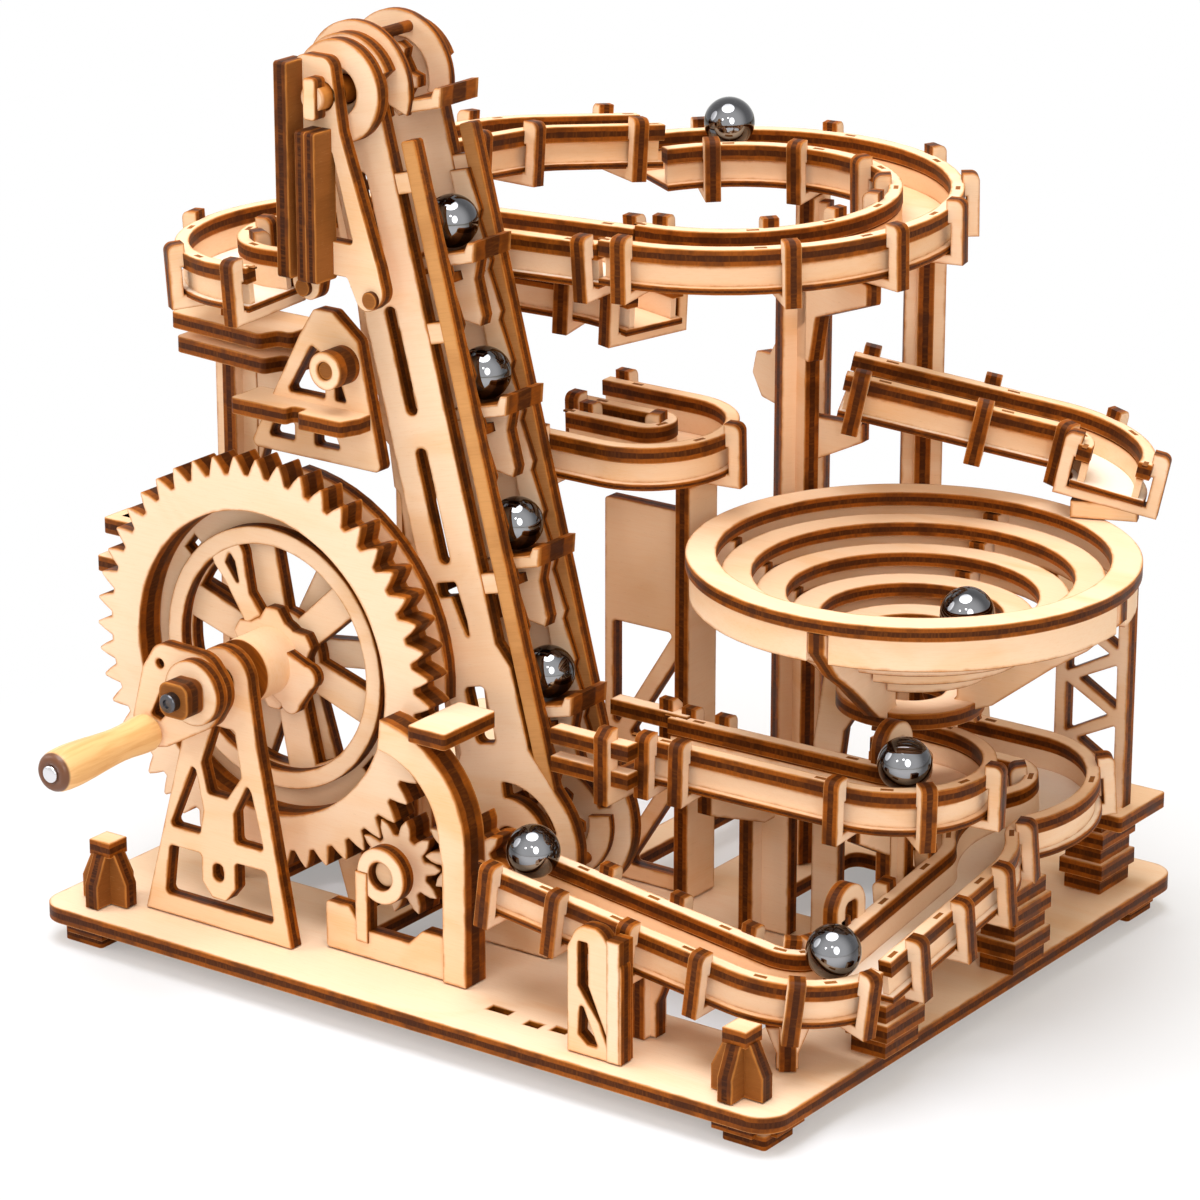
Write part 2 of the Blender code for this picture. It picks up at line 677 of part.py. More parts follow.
def gear_pair():
    """The idler and the lift gear with their shafts; the lower lift shaft carries the lower sprocket."""
    idler_turn = mesh_turn(PINION_TEETH, MESH_ANGLE + math.pi)
    idler = board([gear_outline(PINION_TEETH, idler_turn)], PLY * 2, along_y(IDLER_X, IDLER_Z, GEAR_Y))
    pin = shaft(IDLER_X, IDLER_Z, GEAR_Y - PLY - 5.4, GEAR_Y + PLY + 8.2, AXLE_R, 12)
    piece("idler_gear", [idler, pin], origin=(IDLER_X, GEAR_Y, IDLER_Z))
    towards = math.atan2(LIFT_Z - IDLER_Z, LIFT_X - IDLER_X)
    pitch = 2 * math.pi / PINION_TEETH
    phase = (towards - idler_turn) / pitch
    offset = (phase - math.floor(phase)) * pitch
    lift_turn = towards + math.pi + pitch / 2 + offset
    gear = board([gear_outline(PINION_TEETH, lift_turn)], PLY * 2, along_y(LIFT_X, LIFT_Z, GEAR_Y))
    rod = shaft(LIFT_X, LIFT_Z, GEAR_Y, LIFT_BACK + PLY + 3, AXLE_R, 12)
    pieces = [gear, rod] + sprocket(LIFT_X, LIFT_Z)
    piece("lower_lift_shaft", pieces, origin=(LIFT_X, LIFT_MID, LIFT_Z))
    top = lift_frame(0) @ Vector((0, LIFT_LONG, 0))
    rod = shaft(top.x, top.z, LIFT_FRONT - 14.5, LIFT_BACK + PLY + 3, AXLE_R, 12)
    cross = board([box(-1.8, -4.9, 1.8, 4.9, 1.0)], 4, along_y(top.x, top.z, LIFT_FRONT - 13.5))
    piece("upper_lift_shaft", [rod, cross] + sprocket(top.x, top.z), origin=(top.x, LIFT_MID, top.z))


SPROCKET_REACH = CHAIN_R - 2.6


def sprocket(x, z):
    """A star wheel between the chain's two strands."""
    outline = []
    for i in range(6):
        outline += [(7.4 * math.cos(math.radians(60 * i - 16)), 7.4 * math.sin(math.radians(60 * i - 16)))]
        outline += arc(0, 0, SPROCKET_REACH, 60 * i - 8, 60 * i + 8, 16)
        outline += [(7.4 * math.cos(math.radians(60 * i + 16)), 7.4 * math.sin(math.radians(60 * i + 16)))]
    wheels = [board([outline], PLY * 0.8, along_y(x, z, LIFT_MID + side * 3.6)) for side in (-1, 1)]
    return wheels + [board([circle(0, 0, 5.6, 14)], 10, along_y(x, z, LIFT_MID))]


# Lift

def lift_plate(front):
    """One side plate of the lift with its slots; the front one has the disc round the upper shaft."""
    length, half, low = LIFT_LONG, PLATE_HALF, 20.0
    edge = arc(0, 0, low, -200, 28, 14)
    edge += [(11.6, 22), (11.6, 42), (half, 48)]
    edge += [(half, length)] + arc(0, length, 13.0, 10, 172, 14) + [(-half - 0.6, length - 8),
                                                                    (-half - 0.6, 22)]
    holes = [circle(0, 0, AXLE_R + FIT, 14), circle(0, length, AXLE_R + FIT, 14)]
    for start, end in ((142, 162), (104, 130), (68, 96)):
        holes.append(slot(-1.2, start, -1.2, end, 3.4))
    holes.append(rounded([(-3.6, 24), (2.4, 24), (2.4, 38), (-3.6, 38)], 1.4))
    holes.append(rounded([(-5.2, 60), (-1.6, 60), (-0.4, 54), (1.2, 48), (1.6, 54), (0.6, 63.6),
                          (-5.2, 63.6)], 0.8))
    window = arc(0, 0, 14.6, 4, 84, 14) + arc(0, 0, 10.6, 84, 4, 16)
    holes.append(rounded(window, 0.8))
    y = LIFT_FRONT if front else LIFT_BACK
    foot = box(LIFT_X - 12, BASE_SEAT, LIFT_X + 11, LIFT_Z - 12)
    boards = [board([edge, *holes], PLY, lift_frame(y)), board([foot], PLY - 0.4, facing_front(y))]
    for height in (12.0, 60.0, 120.0, length - 26.0):
        guide = box(half - 1.5, height, 14.2, height + 5.0)
        boards.append(board([guide], PLY * 0.8, lift_frame(y)))
    boards.append(board([bar(14.5, 8, 14.5, length - 14, GUIDE_WIDE, 0.8)], PLY * 0.9, lift_frame(y)))
    if front:
        ring = [circle(0, length, 12.2, 22), circle(0, length, AXLE_R + 2.6, 14)]
        boards.append(board(ring, PLY, lift_frame(LIFT_FRONT - PLY + OVERLAP)))
        for height in (50.0, 134.0):
            tie = board([box(-7.4, height, -3.4, height + 5)],
                        LIFT_BACK - LIFT_FRONT - PLY - 2 * FIT + OVERLAP + FIT,
                        lift_frame(LIFT_MID - OVERLAP / 2 - FIT / 2))
            boards.append(tie)
    piece("lift_plate_front" if front else "lift_plate_back", boards)


def strand(y, start, end, side):
    """One straight row of C shaped links on one side of the lift."""
    outer, wide = [], LINK_WIDE / 2
    for i in range(start, end):
        low = i * LINK_PITCH
        outer += [(side * (CHAIN_R + wide - 1.2), low), (side * (CHAIN_R + wide), low + 2.0)]
    outer.append((side * (CHAIN_R + wide - 1.2), end * LINK_PITCH))
    inner = [(side * (CHAIN_R - wide), end * LINK_PITCH), (side * (CHAIN_R - wide), start * LINK_PITCH)]
    return board([outer + inner], LINK_PLY, lift_frame(y))


def rungs(heights, side):
    """Pins that join the two strands, at the given heights up the lift."""
    wide = STRAND_BACK - STRAND_FRONT + LINK_PLY * 0.8
    return [board([box(side * CHAIN_R - 1.2, height - 1.1, side * CHAIN_R + 1.2, height + 1.1)], wide,
                  lift_frame(LIFT_MID)) for height in heights]


STRAND_FRONT = LIFT_FRONT + PLY / 2 + FIT + LINK_PLY / 2
STRAND_BACK = LIFT_BACK - PLY / 2 - FIT - LINK_PLY / 2


SHELF_DROP = 3.4


def shelf(height, inner):
    """A carrier's hooked shelf from its inner end outwards, across the two strands."""
    outline = [(inner, 0), (21.5, 0), (23.0, 4.4), (21.0, 4.6), (19.6, 2.8), (inner, 2.8)]
    outline = [(v, height - SHELF_DROP + u) for v, u in outline]
    return board([outline], STRAND_BACK - STRAND_FRONT - LINK_PLY * 0.4, lift_frame(LIFT_MID))


def carrier(height):
    """A hooked shelf on a hanging stem."""
    stem = [(9.5, 0.5), (19.0, 0.5), (16.6, -4.5), (16.6, -13.5), (15.4, -15.6), (9.0, -13.0)]
    stem = [(v, height - SHELF_DROP + u) for v, u in stem]
    return [shelf(height, 5.6), board([stem], PLY, lift_frame(LIFT_MID))]


FIRST_CARRIER = 2.6
CARRY_FROM, CARRY_TO = 1, 13


def carrier_heights():
    return [(FIRST_CARRIER + 3 * i) * LINK_PITCH for i in range(4)]


def chain():
    """The carrying run slides; the return run and the turns round both shafts stay put."""
    up = [strand(STRAND_FRONT, CARRY_FROM, CARRY_TO, 1), strand(STRAND_BACK, CARRY_FROM, CARRY_TO, 1)]
    up += rungs([height - 6.5 for height in carrier_heights()], 1)
    for height in carrier_heights():
        up += carrier(height)
    piece("chain_carrying_run", up)
    down = []
    for y in (STRAND_FRONT, STRAND_BACK):
        down.append(strand(y, 0, LINK_PITCHES, -1))
        half = LINK_WIDE / 2
        low = arc(0, 0, CHAIN_R + half, 168, 358, 20) + arc(0, 0, CHAIN_R - half, 358, 168, 24)
        top = arc(0, LIFT_LONG, CHAIN_R + half, -35, 192, 20) + arc(0, LIFT_LONG, CHAIN_R - half, 192, -35,
                                                                    24)
        down.append(board([low], LINK_PLY, lift_frame(y)))
        down.append(board([top], LINK_PLY, lift_frame(y)))
    down += rungs([LINK_PITCH * i for i in range(1, LINK_PITCHES, 2)], -1)
    wide = STRAND_BACK - STRAND_FRONT + LINK_PLY * 0.8
    for turn in (60, 120):
        angle = math.radians(turn)
        out, rise = CHAIN_R * math.cos(angle), CHAIN_R * math.sin(angle)
        for height in (-rise, LIFT_LONG + rise):
            down.append(board([circle(out, height, 1.4, 5)], wide, lift_frame(LIFT_MID)))
    down.append(shelf((FIRST_CARRIER + 12) * LINK_PITCH, SPROCKET_REACH - 0.6))
    piece("chain_return_run", down)


def ball(name, centre):
    shape = bmesh.new()
    bmesh.ops.create_uvsphere(shape, u_segments=12, v_segments=8, radius=BALL_R)
    shape.transform(Matrix.Translation(centre))
    mesh = bpy.data.meshes.new(name)
    shape.to_mesh(mesh)
    shape.free()
    piece(name, [mesh], STEEL, tuple(centre), True)


# Stands

def stands():
    reach = 8.2
    low, top = BASE_SEAT, CRANK_Z
    foot_left, foot_right = -84.0, -38.5
    edge = [(foot_left, low), (foot_right, low), (CRANK_X + 10.2, 60)]
    edge += arc(CRANK_X, top, reach, 0, 180, 20)
    edge += [(CRANK_X - 12.2, 60)]
    holes = [circle(CRANK_X, top, AXLE_R + FIT, 14)]
    middle = (foot_left + foot_right) / 2 + 0.5
    holes.append(rounded([(CRANK_X - 3.2, 62.5), (CRANK_X + 3.4, 62.5), (CRANK_X + 5.2, 51),
                          (middle + 3.4, 44.5),
                          (middle - 2.6, 44.5), (CRANK_X - 7.2, 52)], 1.0))
    holes.append(rounded([(middle - 4.2, 40), (middle - 5.4, 33.5), (middle - 15.0, 33.5),
                          (CRANK_X - 10.2, 50.5), (CRANK_X - 9.0, 50)], 1.0))
    holes.append(rounded([(middle + 5.2, 41), (CRANK_X + 7.0, 49.4), (CRANK_X + 8.2, 47.5),
                          (middle + 14.4, 33.5), (middle + 5.4, 33.5)], 1.0))
    tab = [(middle + 5.2, 28.5), (middle + 5.2, 21.5), (middle + 2.2, 17.8), (middle - 2.2, 17.8),
           (middle - 5.2, 21.5), (middle - 5.2, 28.5)]
    holes.append(rounded([(middle - 17.0, 15.4), (middle + 17.0, 15.4), (middle + 15.0, 28.5), *tab,
                          (middle - 15.2, 28.5)], 1.2))
    holes.append(slot(middle, 22.5, middle, 27.0, 3.4))
    piece("crank_stand", [board([edge, *holes], PLY, facing_front(STAND_Y))])

    y = GEAR_Y - PLY * 2 - 0.4
    leg_left, leg_right = 2.8, 9.5
    arch_x, arch_z, arch_r = leg_right - 27.5, 44.8, 27.5
    outline = arc(arch_x, arch_z, arch_r, 84, 2, 12) + [(leg_right, 42), (leg_right, low), (leg_left, low),
                                                        (leg_left, 40)]
    outline += arc(arch_x, arch_z, arch_r - 7.6, 2, 84, 14)
    tip_x = CRANK_X + GEAR_R + MODULE + 0.5
    cap = board([box(tip_x, y - 5, tip_x + 11, y + 15, 1.0)], PLY, lying(71.0))
    sill = board([rounded([(-33, low), (leg_left + 1, low), (leg_left + 1, low + 11), (-4, low + 11),
                           (-8, low + 7),
                           (-22, low + 7), (-26, low + 12), (-33,
                                                             low + 12)], 1.0)], PLY, facing_front(y - 1))
    bearing = [circle(IDLER_X, IDLER_Z, 7.0, 16), circle(IDLER_X, IDLER_Z, AXLE_R + FIT, 14)]
    hanger = board([bar(IDLER_X - 5.6, low + 4, IDLER_X - 5.6, IDLER_Z, 3.6)], PLY, facing_front(y - 1.6))
    piece("arch_stand", [board([outline], PLY * 2, facing_front(y)), cap, sill,
                         board(bearing, PLY, facing_front(y - 1.2)), hanger])

    y = LIFT_FRONT - PLY - 0.4
    outer, inner = 46.5, 38.0
    guard = arc(CRANK_X, CRANK_Z, outer, -4, 86, 9) + arc(CRANK_X, CRANK_Z, inner, 86, -4, 10)
    hub = [circle(CRANK_X, CRANK_Z, HUB_R + 1.5, 18), circle(CRANK_X, CRANK_Z, AXLE_R + FIT, 14)]
    boards = [board([guard], PLY, facing_front(y)), board(hub, PLY - 0.2, facing_front(y))]
    for angle in (8, 62):
        turn = math.radians(angle)
        boards.append(board([bar(CRANK_X + 8 * math.cos(turn), CRANK_Z + 8 * math.sin(turn),
                                 CRANK_X + 40 * math.cos(turn), CRANK_Z + 40 * math.sin(turn), 7)],
                            PLY - 0.4, facing_front(y)))
    for foot in (-84.0, -38.0):
        boards.append(board([bar(foot, low + 1.7, CRANK_X + (foot - CRANK_X) * 0.12, CRANK_Z - 6, 8)],
                            PLY - 0.6, facing_front(y)))
    boards.append(board([bar(CRANK_X - 6, CRANK_Z + 2, -106, 89, 7)], PLY - 0.6, facing_front(y)))
    boards.append(board([[(-112, 76), (-106, 76), (-104, 80), (-104, 98), (-112, 98)]], PLY,
                        facing_front(y + 0.4)))
    boards.append(board([box(-117, y - 5.6, -101, y + 4, 1)], PLY, lying(86)))
    boards.append(board([box(-115, y - 5.0, -100, y + 5, 1)], PLY, lying(96)))
    piece("rear_stand", boards)


def tower():
    """The frame at the left of the lift with its shelf, and the laminated leg at the upper shaft."""
    y = LIFT_FRONT - PLY - 0.4
    edge = [(-70, 124), (-30, 124), (-36.5, 155), (-44.0, 161), (-49.5, 161), (-54, 154)]
    holes = [rounded([(-50.5, 152), (-58, 139.5), (-46.5, 139.5), (-46.5, 150)], 0.8),
             rounded([(-43.5, 148), (-43.5, 139.5), (-40, 139.5)], 0.6),
             rounded([(-62, 132), (-56, 132), (-56, 127.5), (-64, 127.5)], 0.8),
             rounded([(-50, 132), (-44, 132), (-42, 127.5), (-50, 127.5)], 0.8)]
    boards = [board([rounded(edge, 1.6), *holes], PLY, facing_front(y))]
    boards.append(board([rounded([(-69, y - 10), (-52, y - 10), (-52, y - 7), (-48, y - 7), (-48, y - 11),
                                  (-35, y - 11),
                                  (-33, y - 6), (-33, y + 1.5), (-69, y + 1.5)], 1.2)], PLY, lying(136.0)))
    boards.append(board([circle(-40.5, 149, 4.6, 14)], 9, facing_front(y - 5)))
    piece("tower_frame", boards)

    top = lift_frame(0) @ Vector((0, LIFT_LONG, 0))
    x, z = top.x, top.z
    front = y - PLY - FIT
    edge = [(x - 8, z + 9, 3), (x + 2.5, z + 9, 3), (x + 5.0, z - 8, 1), (x + 15.6, z - 39, 1),
            (x + 17.4, z - 46, 4),
            (x + 10.8, z - 51, 4), (x + 6.4, z - 42, 1), (x - 1.0, z - 42, 1), (x - 2.6, z - 50, 4),
            (x - 10, z - 48, 4), (x - 8.4, z - 20, 1)]
    holes = [circle(x, z, AXLE_R + FIT, 14),
             rounded([(x - 3, z - 16), (x + 2.4, z - 12), (x + 8.5, z - 34), (x - 3, z - 34)], 1)]
    bars = [board([rounded(edge, 1), *holes], PLY, facing_front(front)),
            board([box(x - 9.4, z - 43, x - 5.6, z + 8, 0.8)], 8, facing_front(front - 4)),
            board([box(x - 3.0, z - 43, x + 2.6, z - 7.4, 0.8)], 8, facing_front(front - 4.6))]
    piece("upper_shaft_leg", bars)


def loop_shelf():
    """The shelf and posts that carry the left loop."""
    track = TRACKS["left_loop"]
    _, _, high = track.under(112)
    x, y, _ = track.under(112)
    shelf_z = high - PLY / 2 - 9
    low = BASE_SEAT
    shelf = rounded([(x - 14, y - 8), (x + 16, y - 11), (x + 18, y - 6), (x + 22, y - 6), (x + 22, y + 8),
                     (x - 14, y + 8)], 1.6)
    boards = [board([shelf], PLY, lying(shelf_z)),
              board([[(px * 0.999 + 0.6, py + 0.9) for px, py in shelf]], PLY, lying(shelf_z - PLY - 2.2)),
              board([box(-3.5, 0, 3.5, high - low)], PLY, upright(x, y, low, 90)),
              board([box(-6.5, 0, 6.5, shelf_z - low)], PLY, upright(x, y + 1.4, low, 0)),
              board([rounded([(3, 92), (15, 128), (15, 134), (3, 134)], 1)], PLY - 0.5,
                    upright(x, y + 1.4, low, 0))]
    piece("loop_post_front", boards)
    x, y, high = track.under(62)
    boards = [board([box(-3.5, 0, 3.5, high - low)], PLY, upright(x, y, low, 90)),
              board([box(-5, 0, 5, high - low - 3)], PLY - 0.4, upright(x, y, low, 0))]
    piece("loop_post_back", boards)


# Funnel

def rib_angles():
    return [-82.0 + 90.0 * i for i in range(4)]


def funnel():
    for i, radius in enumerate(FUNNEL_RADII):
        top = FUNNEL_Z - RING_STEP * i
        ring = [circle(FUNNEL_X, FUNNEL_Y, radius, 36 - 3 * i),
                circle(FUNNEL_X, FUNNEL_Y, radius - RING_WIDE, 36 - 3 * i)]
        boards = [board(ring, RING_PLY, lying(top - RING_PLY / 2))]
        drop = 8.0 if i == 0 else 5.2
        out = radius - 1.0
        spare = math.degrees((PLY / 2 + 0.7) / out)
        for angle in rib_angles():
            first, last = angle + spare, angle + 90 - spare
            band = arc(FUNNEL_X, FUNNEL_Y, out, first, last, 18) + arc(FUNNEL_X, FUNNEL_Y, out - THIN_PLY,
                                                                       last, first, 18)
            boards.append(board([band], drop, lying(top - RING_PLY - drop / 2 + OVERLAP)))
        piece(f"funnel_ring_{i + 1}", boards)
    boards = []
    low = BASE_SEAT
    for index, angle in enumerate(rib_angles()):
        outline = []
        for i, radius in enumerate(FUNNEL_RADII):
            seat = FUNNEL_Z - RING_STEP * i - RING_PLY - FIT
            edge = radius + 0.4 if i else radius - 0.4
            outline += [(edge, seat + RING_STEP if i else seat), (edge, seat)]
        if outline[0] == outline[1]:
            outline.pop(0)
        inner = FUNNEL_RADII[-1] - RING_WIDE - 0.6
        bottom = FUNNEL_Z - RING_STEP * 5
        outline += [(inner, seat), (inner, bottom - 8), (inner - 2.6, bottom - 12)]
        long_leg = index in (2, 3)
        if long_leg:
            foot = 24.0
            outline += [(foot - 8, bottom - 22), (foot - 7, bottom - 30), (foot - 7, low), (foot, low),
                        (foot, bottom - 26)]
        else:
            outline += [(inner - 1, bottom - 14), (inner + 5, bottom - 14), (inner + 4, bottom - 11)]
        outline += [(inner + 9, bottom - 9), (FUNNEL_RADII[2], FUNNEL_Z - RING_STEP * 3 - 7.0),
                    (FUNNEL_RADII[1], FUNNEL_Z - RING_STEP * 2 - 6.5), (FUNNEL_RADII[0] - 0.4,
                                                                        FUNNEL_Z - RING_PLY - 5.0)]
        boards.append(board([outline], PLY, upright(FUNNEL_X, FUNNEL_Y, 0, angle)))
    collar = [circle(FUNNEL_X, FUNNEL_Y, 17.5, 24), circle(FUNNEL_X, FUNNEL_Y, 8.2, 18)]
    boards.append(board(collar, PLY, lying(FUNNEL_Z - RING_STEP * 5 - 11)))
    piece("funnel_frame", boards)


# Posts and brackets

def cross_post(name, x, y, high, wide, heading, extra=()):
    """Two crossed boards from the base up to a track, with what is fixed to them."""
    low = BASE_SEAT
    boards = [board([box(-wide / 2, 0, wide / 2, high - low)], PLY, upright(x, y, low, heading)),
              board([box(-wide / 2 + 0.6, 0, wide / 2 - 0.6, high - low - 1.5)], PLY,
                    upright(x, y, low, heading + 90))]
    piece(name, [*boards, *extra])


MAIN_POST = (25.5, 42.0)


def heading_at(track, distance):
    return math.degrees(at(track.points, distance)[2])


def posts():
    ring = TRACKS["upper_ring"]
    low = BASE_SEAT
    x, y, high = ring.under(MAIN_CLIP)
    reach = math.hypot(x - MAIN_POST[0], y - MAIN_POST[1])
    heading = math.degrees(math.atan2(y - MAIN_POST[1], x - MAIN_POST[0]))
    arm = board([rounded([(-8, high - 26), (8, high - 26), (11, high - 14), (reach + 4, high - 5),
                          (reach + 4, high),
                          (-8, high)], 1)], PLY, upright(*MAIN_POST, 0, heading))
    roller = board([rounded([(-6, 126), (-16, 126), (-21, 131), (-19, 137), (-12, 138), (-8, 143),
                             (-6, 143)], 1)],
                   PLY, upright(*MAIN_POST, 0, heading))
    long_x, long_y, seat = TRACKS["long"].under(4)
    away = math.hypot(long_x - MAIN_POST[0], long_y - MAIN_POST[1])
    ledge = board([[(0, seat - 14), (away + 3, seat - 5), (away + 3, seat - 0.5), (0, seat - 0.5)]],
                  PLY - 0.4,
                  upright(*MAIN_POST, 0, math.degrees(math.atan2(long_y - MAIN_POST[1],
                                                                 long_x - MAIN_POST[0]))))
    cross_post("main_post", *MAIN_POST, high - 8, 13, heading, [arm, roller, ledge])
    x, y, high = ring.under(42)
    cross_post("back_post_left", x, y, high, 10, heading_at(ring, 42) + 90)
    x, y, high = ring.under(92)
    cross_post("back_post_right", x, y, high, 10, heading_at(ring, 92) + 90)
    u_turn = TRACKS["u_turn"]
    x, y, high = u_turn.under(45)
    truss = [box(-13.5, 0, 13.5, high - low - 8, 1)]
    cell = 34.0
    for i in range(3):
        bottom = 4 + i * cell
        if bottom + cell < high - low - 10:
            truss.append(rounded([(-11, bottom), (-11, bottom + cell - 5), (7, bottom + cell - 5)], 1))
            truss.append(rounded([(-6.5, bottom), (10.6, bottom), (10.6, bottom + cell - 7)], 1))
    boards = [board(truss, PLY, upright(x - 12, y, low, 0)),
              board([box(-6, 0, 6, high - low)], PLY, upright(x, y, low, 90))]
    piece("u_turn_column", boards)


def leg_boards(track, distance, wide=9.0):
    """Two crossed boards that stand under a clip and join it."""
    x, y, high = track.under(distance)
    heading = heading_at(track, distance) + 90
    low = BASE_SEAT
    top = high - low + FIT + OVERLAP
    return [board([rounded([(-wide / 2, 0), (wide / 2, 0), (wide / 2, top), (-wide / 2, top)], 0)], PLY,
                  upright(x, y, low, heading)),
            board([[(-wide / 2 + 1, 0), (wide / 2 - 1, 0), (wide / 2 - 1, top - 8),
                    (wide / 2 + 1.5, top - 1.6),
                    (-wide / 2 - 1.5, top - 1.6), (-wide / 2 + 1, top - 8)]], PLY, upright(x, y, low,
                                                                                           heading + 90))]


def stack(track, distance, shift):
    """A pile of notched boards under the outer side of a clip."""
    x, y, angle = at(track.points, distance)
    x += shift * math.sin(angle)
    y -= shift * math.cos(angle)
    high = track.under(distance)[2] + FIT + OVERLAP
    low = BASE_SEAT
    count = max(1, round((high - low) / PLY))
    thick = (high - low) / count
    boards = []
    for i in range(count):
        grow = 1.0 if i % 2 else 0.0
        place = lying(low + thick * (i + 0.5), x, y)
        boards.append(board([box(-4.6 - grow, -7 - grow, 4.6 + grow, 7 + grow)],
                            thick + (0.02 if i % 2 else 0), place))
    return boards


def lift_entry():
    """The straight rails that lead from the loop track past the carriers."""
    track = TRACKS["loop"]
    z = track.point(track.points[-1][3] - 4).z
    x_end = track.points[-1][0] + 4.0
    start = LIFT_X + 12.6
    boards = []
    for side, drops in ((LIFT_FRONT - 0.5, (0.0, 7.0)), (LIFT_BACK + 1.5, (0.0,))):
        for drop in drops:
            boards.append(board([box(start, side - 2, x_end, side + 2)], PLY,
                                lying(z - PLY / 2 - drop + 0.6)))
    middle = (LIFT_FRONT + LIFT_BACK + 1.0) / 2
    half = (LIFT_BACK - LIFT_FRONT + 2.0) / 2 + 3.4
    yoke = [(-half, -15), (half, -15), (half, 1.6), (half - 2, 3.4), (half - 4.4, 3.4), (half - 4.4, -9),
            (4.4 - half, -9),
            (4.4 - half, 3.4), (2 - half, 3.4), (-half, 1.6)]
    boards.append(board([yoke], PLY, upright(x_end - 6.8, middle, z, 90)))
    return boards


def k_bracket():
    low = BASE_SEAT
    edge = [(49, low), (64, low), (64, 34, 2), (58, 42, 4), (52, 42, 4), (49, 36, 2)]
    holes = [rounded([(52, 15), (54.5, 13), (57.6, 13), (52.6, 24)], 0.6),
             rounded([(52, 27), (52, 38), (54.8, 38), (54.8, 27.6), (60.5, 15), (60.5, 13), (58, 19)], 0.5)]
    piece("front_bracket", [board([rounded(edge, 0), *holes], PLY, facing_front(-84.2)),
                            board([rounded([(60, low), (63.6, low), (63.6, 40), (60, 40)], 0)], 5.6,
                                  facing_front(-83.6))])


def lattice_tower():
    """The lattice at the back right corner, on its stacked platform, which carries the funnel's rim."""
    x, y = 96.0, 67.0
    low = BASE_SEAT
    top = FUNNEL_Z - RING_PLY - 8.4
    step = 32.0
    boards = []
    edge = [(-10, step - low), (10, step - low), (10, top - low), (-10, top - low)]
    holes = []
    cells = 4
    cell = (top - step - 4) / cells
    for i in range(cells):
        z0 = step - low + 3 + i * cell
        holes.append(rounded([(-7, z0), (5.0, z0 + cell / 2 - 1.2), (-7, z0 + cell - 2.6)], 0.4))
        holes.append(rounded([(7, z0 + cell / 2 + 0.6), (7, z0 + cell * 1.5 - 3.6),
                              (-3.6, z0 + cell - 1.2)], 0.4)
                     if i < cells - 1 else box(4.8, z0 + cell * 0.62, 7, z0 + cell - 2))
    boards.append(board([edge, *holes], PLY, upright(x, y, low, 0)))
    boards.append(board([box(-13, -10, 13, 12, 1)], PLY, lying(step, x, y + 2)))
    for i in range(5):
        grow = 1.0 if i % 2 else 0.0
        thick = (step - PLY / 2 - low + OVERLAP) / 5
        boards.append(board([box(-5 - grow, -7 - grow, 5 + grow, 7 + grow)], thick + (0.02 if i % 2 else 0),
                            lying(low + thick * (i + 0.5), x, y + 4)))
    arm = [(-11, 0), (2, 0), (2, 14), (-14.5, 14), (-14.5, 9)]
    boards.append(board([[(px, pz + top - 14 - low) for px, pz in arm]], PLY, upright(x - 5, y, low, 90)))
    piece("lattice_tower", boards)


def balls():
    for index, height in enumerate(carrier_heights()):
        centre = lift_frame(LIFT_MID) @ Vector((CHAIN_R, height - 0.6 + FIT + BALL_R, 0))
        ball(f"lift_ball_{index + 1}", centre)
    for name, track, distance in (("ring_ball", "upper_ring", 20.0), ("loop_ball", "loop", 46.0),
                                  ("corner_ball", "front", 6.0), ("front_ball", "front", 87.0)):
        ball(name, TRACKS[track].point(distance, BALL_SINK))
    rise = BALL_R + FIT
    gap = rise - RING_STEP
    reach = FUNNEL_RADII[2] - RING_WIDE - math.sqrt(rise ** 2 - gap ** 2)
    turn = math.radians(-25)
    ball("funnel_ball", Vector((FUNNEL_X + reach * math.cos(turn), FUNNEL_Y + reach * math.sin(turn),
                                FUNNEL_Z - RING_STEP * 3 + rise)))


def loop_supports(track):
    """The far post with its arm, the near post under the bend, and the arch on the inner rail."""
    x, y, high = track.under(98)
    low, top = BASE_SEAT, high + FIT + OVERLAP
    arm = [(1, top - 16), (1, top), (y + 1, top), (y + 1, top - 7), (-6, top - 16)]
    boards = [board([box(x - 6, low, x + 6, top - 2)], PLY, facing_front(0)),
              board([box(-6, low, 4.5, top - 3)], PLY, facing_side(x - 3.6)),
              board([arm], PLY, facing_side(x))]
    near_x, near_y, high = track.under(57)
    top = high + FIT + OVERLAP
    boards += [board([box(near_x - 4, low, near_x + 4, top - 1)], PLY, facing_front(near_y + 17)),
               board([box(near_y + 12, low, near_y + 22, top - 2)], PLY, facing_side(near_x)),
               board([[(near_y + 18, top - 14), (near_y + 18, top), (near_y - 1, top),
                       (near_y - 1, top - 4),
                       (near_y + 10, top - 10)]], PLY - 0.4, facing_side(near_x))]
    return boards + lift_entry() + arch(LOOP_END_X + 1, LOOP_END_Y - 2, track.point(33)[2])


def arch(x, y, z):
    """A round topped bracket that stands beside or across the inner rail of a bend."""
    edge = [(-6, -PLY + 0.6), (6, -PLY + 0.6)] + arc(0, 3.4, 6, 0, 180, 30)
    hole = rounded([(-2.4, -1), (2.4, -1), (2.4, 5.5), (-2.4, 5.5)], 1.5)
    return [board([edge, hole], PLY, facing_side(x, y, z))]


def side_supports(track):
    end = track.points[-1][3]
    x, y, z = track.point(end - 11)
    return stack(track, 74, -8) + stack(track, end - 9, -3) + arch(x - TRACK_HALF - 1.4, y, z)


